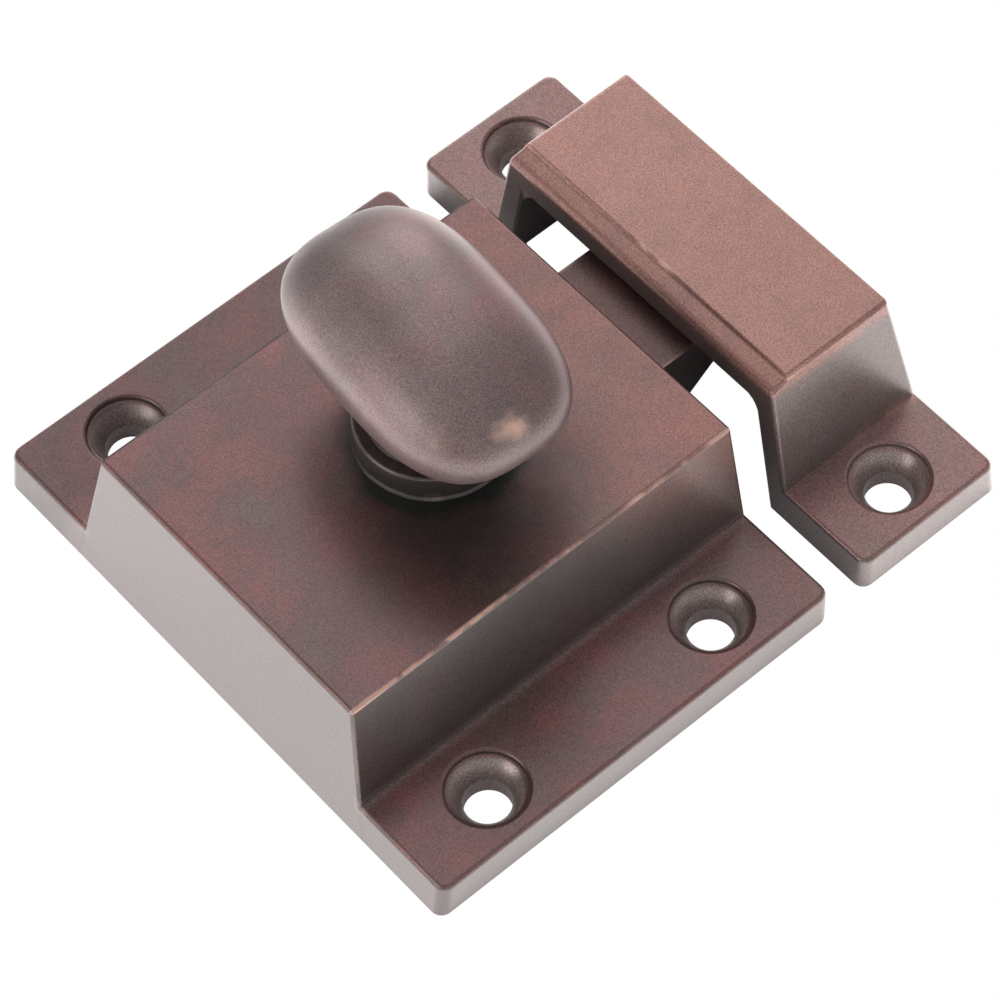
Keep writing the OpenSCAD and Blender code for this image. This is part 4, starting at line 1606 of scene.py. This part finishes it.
@dataclass
class Bolt:
    """The bolt: a bevelled nose, a frame with the cam's window, and a tail bored for the spring."""

    tip: float = 29.8
    nose_half: float = 6.3
    front: float = 17.3
    frame_half: float = 9.9
    frame_back: float = -2.5
    tail_half: float = 5.0
    tail_back: float = -9.0
    low: float = 4.0
    high: float = 11.6
    bevel: float = math.radians(39.0)
    tip_h: float = 1.5
    knob_x: float = 2.5
    window_r: float = 4.35
    travel: float = 6.5
    shoulder: float = 1.5505
    notch_top: float = 7.4663
    bore_r: float = 2.7
    bore_end: float = -3.5

    def _outline(self) -> list[tuple[float, float]]:
        """The bolt's plan.

        Returns:
            Its outline.
        """
        half = [(self.tip, self.nose_half, 0.5), (self.front, self.nose_half, 0), (self.front, self.frame_half, 0.5),
                (self.frame_back, self.frame_half, 1.5), (self.frame_back, self.tail_half, 0.5),
                (self.tail_back, self.tail_half, 0.5)]
        return rounded(half + [(x, -y, r) for x, y, r in reversed(half)], 5)

    def _tools(self) -> list[bpy.types.Mesh]:
        """What is cut out of it.

        Returns:
            The solids for the cam's window and notch, the nose's bevel and the spring's bore.
        """
        r = self.window_r
        slot = [(self.knob_x + r * math.cos(a), r * math.sin(a))
                for a in (math.radians(90 + 180 * k / 24) for k in range(25))]
        slot += [(self.knob_x + self.travel + r * math.cos(a), r * math.sin(a))
                 for a in (math.radians(-90 + 180 * k / 24) for k in range(25))]
        back = self.knob_x + self.shoulder
        front = self.knob_x + r + self.travel + 0.4
        notch = rounded([(back, 0, 0), (front, 0, 0), (front, self.notch_top, 0.5), (back, self.notch_top, 0.5)], 5)
        rise = self.high - self.low - self.tip_h
        run = rise / math.tan(self.bevel)
        wedge = [(self.tip - run, self.low), (self.tip - run, self.low - 1), (self.tip + 1, self.low - 1),
                 (self.tip + 1, self.low + rise + math.tan(self.bevel))]
        axis = (0, 0, (self.low + self.high) / 2)
        return [Bench.extruded(slot, self.low - 1, self.high + 1, ALONG_Z),
                Bench.extruded(notch, self.low - 1, self.high + 1, ALONG_Z),
                Bench.extruded(wedge, -8.0, 8.0, ALONG_Y),
                Bench.rod(self.bore_r, self.tail_back - 1, self.bore_end, axis, ALONG_X, 48)]

    def build(self) -> bpy.types.Object:
        """Makes the bolt.

        Returns:
            The piece.
        """
        mesh = Bench.cut(Bench.extruded(self._outline(), self.low, self.high, ALONG_Z), self._tools())
        mesh = Bench.shaded(Bench.broken(mesh, 0.16, 34))
        top = Plane((0, 0, self.high), (0, 0, 1))
        wear_and_glints = [WearAndShadingLine(top, Plane((0, self.nose_half, 0), (0, 1, 0)), 0.25),
                WearAndShadingLine(top, Plane((self.tip, 0, 0), (1, 0, 0)), 0.6)]
        # Painted shade: the bolt is given the darker copy of the bronze, as it lies in the hood's shadow.
        finish = SHADOWED_BOLT_BRONZE.material("bolt_bronze", wear_and_glints)
        return place_piece(mesh, "bolt_casting", Body.SLIDING, finish, ["bolt"])


@dataclass
class ReturnSpring:
    """The coil spring between the case's seat and the bolt's tail, closed at both ends."""

    seat_x: float = -16.4
    bore_end: float = -3.5
    height: float = 7.8
    outer_r: float = 2.4
    wire_r: float = 0.3
    gap: float = 0.1
    open_turns: float = 7.0
    dead_turns: float = 1.0
    travel: float = 6.5
    steps: int = 433

    def _recipe(self, finish: bpy.types.Material) -> Recipe:
        """A wire swept along a coil whose pitch closes at the ends.

        Args:
            finish: The wire's material.

        Returns:
            The tree.
        """
        start = self.seat_x + self.wire_r + self.gap
        length = self.bore_end - self.wire_r - self.gap - start
        inputs = {"Steps": self.steps, "Coil radius": self.outer_r - self.wire_r, "Wire radius": self.wire_r,
                  "Turns": self.open_turns + 2 * self.dead_turns, "Dead turns": self.dead_turns, "Length": length,
                  "Dead pitch": 2.1 * self.wire_r, "Finish": finish}
        recipe = Recipe("return_spring", inputs)
        tree, get = recipe.tree, recipe.input
        line = tree.node("GeometryNodeCurvePrimitiveLine", {}, {"End": (1.0, 0.0, 0.0)})
        fine = tree.node("GeometryNodeResampleCurve", {}, {"Curve": line, "Count": get("Steps")})
        turn = tree.parts(tree.node("GeometryNodeInputPosition", {}, {}))[0] * get("Turns")
        low = turn.at_most(get("Dead turns"))
        high = (turn - get("Turns") + get("Dead turns")).at_least(0.0)
        open_length = get("Length") - get("Dead turns") * get("Dead pitch") * 2
        open_pitch = open_length / (get("Turns") - get("Dead turns") * 2)
        rise = (low + high) * get("Dead pitch") + (turn - low - high) * open_pitch
        angle = turn * (2 * math.pi)
        spot = tree.vector((start + rise) * MM, get("Coil radius") * angle.cosine() * MM,
                           (self.height + get("Coil radius") * angle.sine()) * MM)
        coil = tree.node("GeometryNodeSetPosition", {}, {"Geometry": fine, "Position": spot})
        section = {"Resolution": 14, "Radius": get("Wire radius") * MM}
        circle = tree.node("GeometryNodeCurvePrimitiveCircle", {}, section)
        wire = tree.node("GeometryNodeCurveToMesh", {}, {"Curve": coil, "Profile Curve": circle, "Fill Caps": True})
        recipe.finish(wire)
        return recipe

    def build(self) -> bpy.types.Object:
        """Makes the spring.

        Returns:
            The piece.
        """
        finish = STEEL.material("spring_steel")
        mesh = Bench.shaded(self._recipe(finish).mesh(), 60.0)
        piece = place_piece(mesh, "return_spring", Body.FIXED, finish, ["bolt_spring"])
        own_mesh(piece)
        return piece


@dataclass
class PanScrews:
    """Slotted pan-head screws with a cut thread, one at each point."""

    piece: str
    body: Body
    nodes: list[str]
    points: list[Point]
    first_turn: float
    turn_step: float
    head_r: float = 2.25
    head_h: float = 1.5
    shank_r: float = 1.25
    length: float = 5.6
    pitch: float = 0.45
    thread_h: float = 0.24
    slot_w: float = 0.6
    tip_l: float = 0.3
    around: int = 41
    along: int = 121

    def _recipe(self, finish: bpy.types.Material) -> Recipe:
        """One screw by rule, set on every point and turned a little further each time.

        Args:
            finish: The screws' material.

        Returns:
            The tree.
        """
        inputs = {"Around": self.around, "Along": self.along, "Head radius": self.head_r, "Head height": self.head_h,
                  "Shank radius": self.shank_r, "Length": self.length, "Pitch": self.pitch,
                  "Thread depth": self.thread_h, "Slot width": self.slot_w, "First turn": self.first_turn,
                  "Turn step": self.turn_step, "Finish": finish}
        recipe = Recipe(self.piece, inputs)
        tree, get = recipe.tree, recipe.input
        grid, angle, way = recipe.grid("Around", "Along")
        head, flat, shank, tip = ((way * 6).share(), (way * 6 - 1).share(), ((way * 6 - 2) / 3.5).share(),
                                  ((way * 6 - 5.5) / 0.5).share())
        sweep = head * (math.pi / 2)
        pan = sweep.sine().at_least(0.0) ** 0.55
        drop = sweep.cosine().at_least(0.0) ** 0.55
        z = -get("Head height") * drop + (get("Length") - self.tip_l) * shank + tip * self.tip_l
        helix = (z / get("Pitch") - angle / (2 * math.pi) + 40).fraction()
        crest = abs(helix * 2 - 1)
        root = get("Shank radius") - get("Thread depth") * (1 - crest) * (z / 0.4).share()
        radius = (get("Head radius") * pan * (1 - flat) + root * flat) * (1 - tip)
        shape = recipe.closed(grid, radius * angle.cosine(), radius * angle.sine(), z)
        block = tree.vector(6 * MM, get("Slot width") * MM, get("Head height") * MM)
        bar = tree.node("GeometryNodeMeshCube", {}, {"Size": block}, "Mesh")
        spot = tree.vector(0.0, 0.0, -get("Head height") * MM)
        bar = tree.node("GeometryNodeTransform", {}, {"Geometry": bar, "Translation": spot})
        slotted = tree.node("GeometryNodeMeshBoolean", {"operation": "DIFFERENCE"}, {0: shape, 1: bar}, "Mesh")
        number = tree.node("GeometryNodeInputIndex", {}, {})
        turn = (get("First turn") + number * get("Turn step")) * (math.pi / 180)
        values = {"Points": recipe.host, "Instance": slotted, "Rotation": tree.vector(0.0, 0.0, turn)}
        recipe.finish(tree.node("GeometryNodeInstanceOnPoints", {}, values))
        return recipe

    def build(self) -> bpy.types.Object:
        """Makes the screws.

        Returns:
            The piece.
        """
        finish = STEEL.material(f"{self.piece}_steel")
        mesh = Bench.shaded(self._recipe(finish).mesh(self.points), 32.0)
        return place_piece(mesh, self.piece, self.body, finish, self.nodes)


@dataclass
class InnerWork:
    """The plain turned and stamped pieces: their solids are right, so they get eased edges and a finish."""

    ease: float = 0.12
    pieces: list[tuple[str, str, Body, Slot]] = field(default_factory=lambda: [
        ("back_sheet", "back_plate", Body.FIXED, Slot.BRASS),
        ("bolt_cam", "cam", Body.TURNING, Slot.BRASS),
        ("cam_spindle", "spindle", Body.TURNING, Slot.STEEL),
        ("washer", "cam_washer", Body.TURNING, Slot.STEEL),
    ])

    def build(self) -> list[bpy.types.Object]:
        """Makes the pieces.

        Returns:
            The pieces, in order.
        """
        made = []
        for name, node, body, slot in self.pieces:
            mesh = Bench.shaded(Bench.broken(Bench.node_copy(node), self.ease, 50), 30.0)
            metal = BRASS if slot is Slot.BRASS else STEEL
            made.append(place_piece(mesh, name, body, metal.material(f"{name}_{slot.value}"), [node]))
        return made


@dataclass
class Studio:
    """A lit white table, soft lights and the camera of the photograph."""

    camera_at: Point = (-114.86, -157.56, 304.01)
    right: Point = (0.75542, -0.65447, -0.03176)
    down: Point = (-0.56135, -0.62142, -0.54655)
    lens: float = 162.0
    floor_half: float = 1500.0
    floor_glow: float = 1.45
    warm: Colour = (1.0, 0.955, 0.940)
    shade_middle: tuple[float, float] = (9.0, 0.0)
    shade_half: tuple[float, float] = (27.5, 25.0)
    shade_reach: tuple[float, float] = (1.8, 3.4)
    sky: float = 0.7
    lights: tuple[tuple[str, Point, float, float], ...] = (
        ("key", (300, 380, 750), 450, 0.7), ("low_key", (550, 650, 450), 500, 2.5),
        ("left_fill", (-750, 150, 400), 500, 1.9))
    aim: Point = (10, 0, 10)

    def build(self) -> None:
        """Makes the floor, the camera, the surround and the lights."""
        self._floor()
        self._camera()
        self._world()
        for light in self.lights:
            self._light(*light)

    def _floor(self) -> None:
        """The white surface that the catch lies on, seen as plain white and lit like a card."""
        half = self.floor_half
        corners = [(-half, -half, 0), (half, -half, 0), (half, half, 0), (-half, half, 0)]
        mesh = raw_mesh("floor", corners, [(0, 1, 2, 3)])
        floor = in_scene("floor", mesh)
        material, tree = new_material("white_card")
        glow = self._floor_glow(tree)
        values = {"Base Color": (0.92, 0.92, 0.92, 1.0), "Roughness": 0.9, "Specular IOR Level": 0.1,
                  "Emission Color": tree.vector(glow, glow * self.warm[1], glow * self.warm[2]),
                  "Emission Strength": self.floor_glow}
        card = tree.node("ShaderNodeBsdfPrincipled", {}, values)
        plain = tree.node("ShaderNodeEmission", {}, {"Color": (1.0, 1.0, 1.0, 1.0), "Strength": 1.0})
        seen = tree.node("ShaderNodeLightPath", {}, {}, "Is Camera Ray")
        shader = tree.node("ShaderNodeMixShader", {}, {0: seen, 1: card, 2: plain})
        tree.node("ShaderNodeOutputMaterial", {}, {"Surface": shader})
        mesh.materials.append(material)

    def _floor_glow(self, tree: Tree) -> Wire:
        """How much the floor glows: not at all under the catch, and fully outside its outline.

        Args:
            tree: The floor's tree.

        Returns:
            The share, from 0 to 1.
        """
        place = tree.in_mm(tree.node("ShaderNodeTexCoord", {}, {}, "Object"))
        outside = [(abs(way - middle) - half).eased(0.0, reach) for way, middle, half, reach
                   in zip(tree.parts(place), self.shade_middle, self.shade_half, self.shade_reach)]
        return outside[0].at_least(outside[1])

    def _camera(self) -> None:
        """The camera, at the photograph's angle."""
        data = bpy.data.cameras.new("camera")
        data.lens = self.lens
        data.sensor_width = 36.0
        data.clip_start, data.clip_end = 0.01, 20.0
        camera = in_scene("camera", data)
        right = Vector(self.right).normalized()
        up = -Vector(self.down)
        up = (up - right * up.dot(right)).normalized()
        turn = Matrix((right, up, right.cross(up))).transposed().to_4x4()
        camera.matrix_world = Matrix.Translation(Vector(self.camera_at) * MM) @ turn
        bpy.context.scene.camera = camera

    def _world(self) -> None:
        """An even white surround."""
        world = bpy.data.worlds.new("surround")
        world.use_nodes = True
        tree = Tree(world.node_tree)
        sky = tree.node("ShaderNodeBackground", {}, {"Color": (1.0, 1.0, 1.0, 1.0), "Strength": self.sky})
        tree.node("ShaderNodeOutputWorld", {}, {"Surface": sky})
        bpy.context.scene.world = world
        bpy.context.scene.view_settings.view_transform = "Standard"

    def _light(self, name: str, place: Point, size: float, power: float) -> None:
        """A square soft light that faces the catch.

        Args:
            name: The light's name.
            place: Where it is.
            size: Its side.
            power: Its power, in watts.
        """
        data = bpy.data.lights.new(name, "AREA")
        data.size = size * MM
        data.energy = power
        data.color = self.warm
        light = in_scene(name, data)
        light.location = Vector(place) * MM
        light.rotation_mode = "QUATERNION"
        light.rotation_quaternion = (Vector(self.aim) - Vector(place)).to_track_quat("-Z", "Y")


def main() -> None:
    """Builds the catch and its studio."""
    logging.basicConfig(level=logging.INFO, format="%(message)s")
    case = Case()
    head_z, cam_screw_z = 2.4, 6.35
    case.build()
    Strike().build()
    Collar().build()
    OvalKnob().build()
    Bolt().build()
    ReturnSpring().build()
    PanScrews("plate_screws", Body.FIXED, [f"plate_screw_{i}" for i in (1, 2, 3, 4)],
              [(x, y, head_z) for x, y in case.posts], 25.0, 70.0).build()
    PanScrews("centre_screw", Body.TURNING, ["cam_screw"], [(case.knob_x, 0.0, cam_screw_z)], 30.0, 0.0).build()
    InnerWork().build()
    Studio().build()


if __name__ == "__main__":
    main()
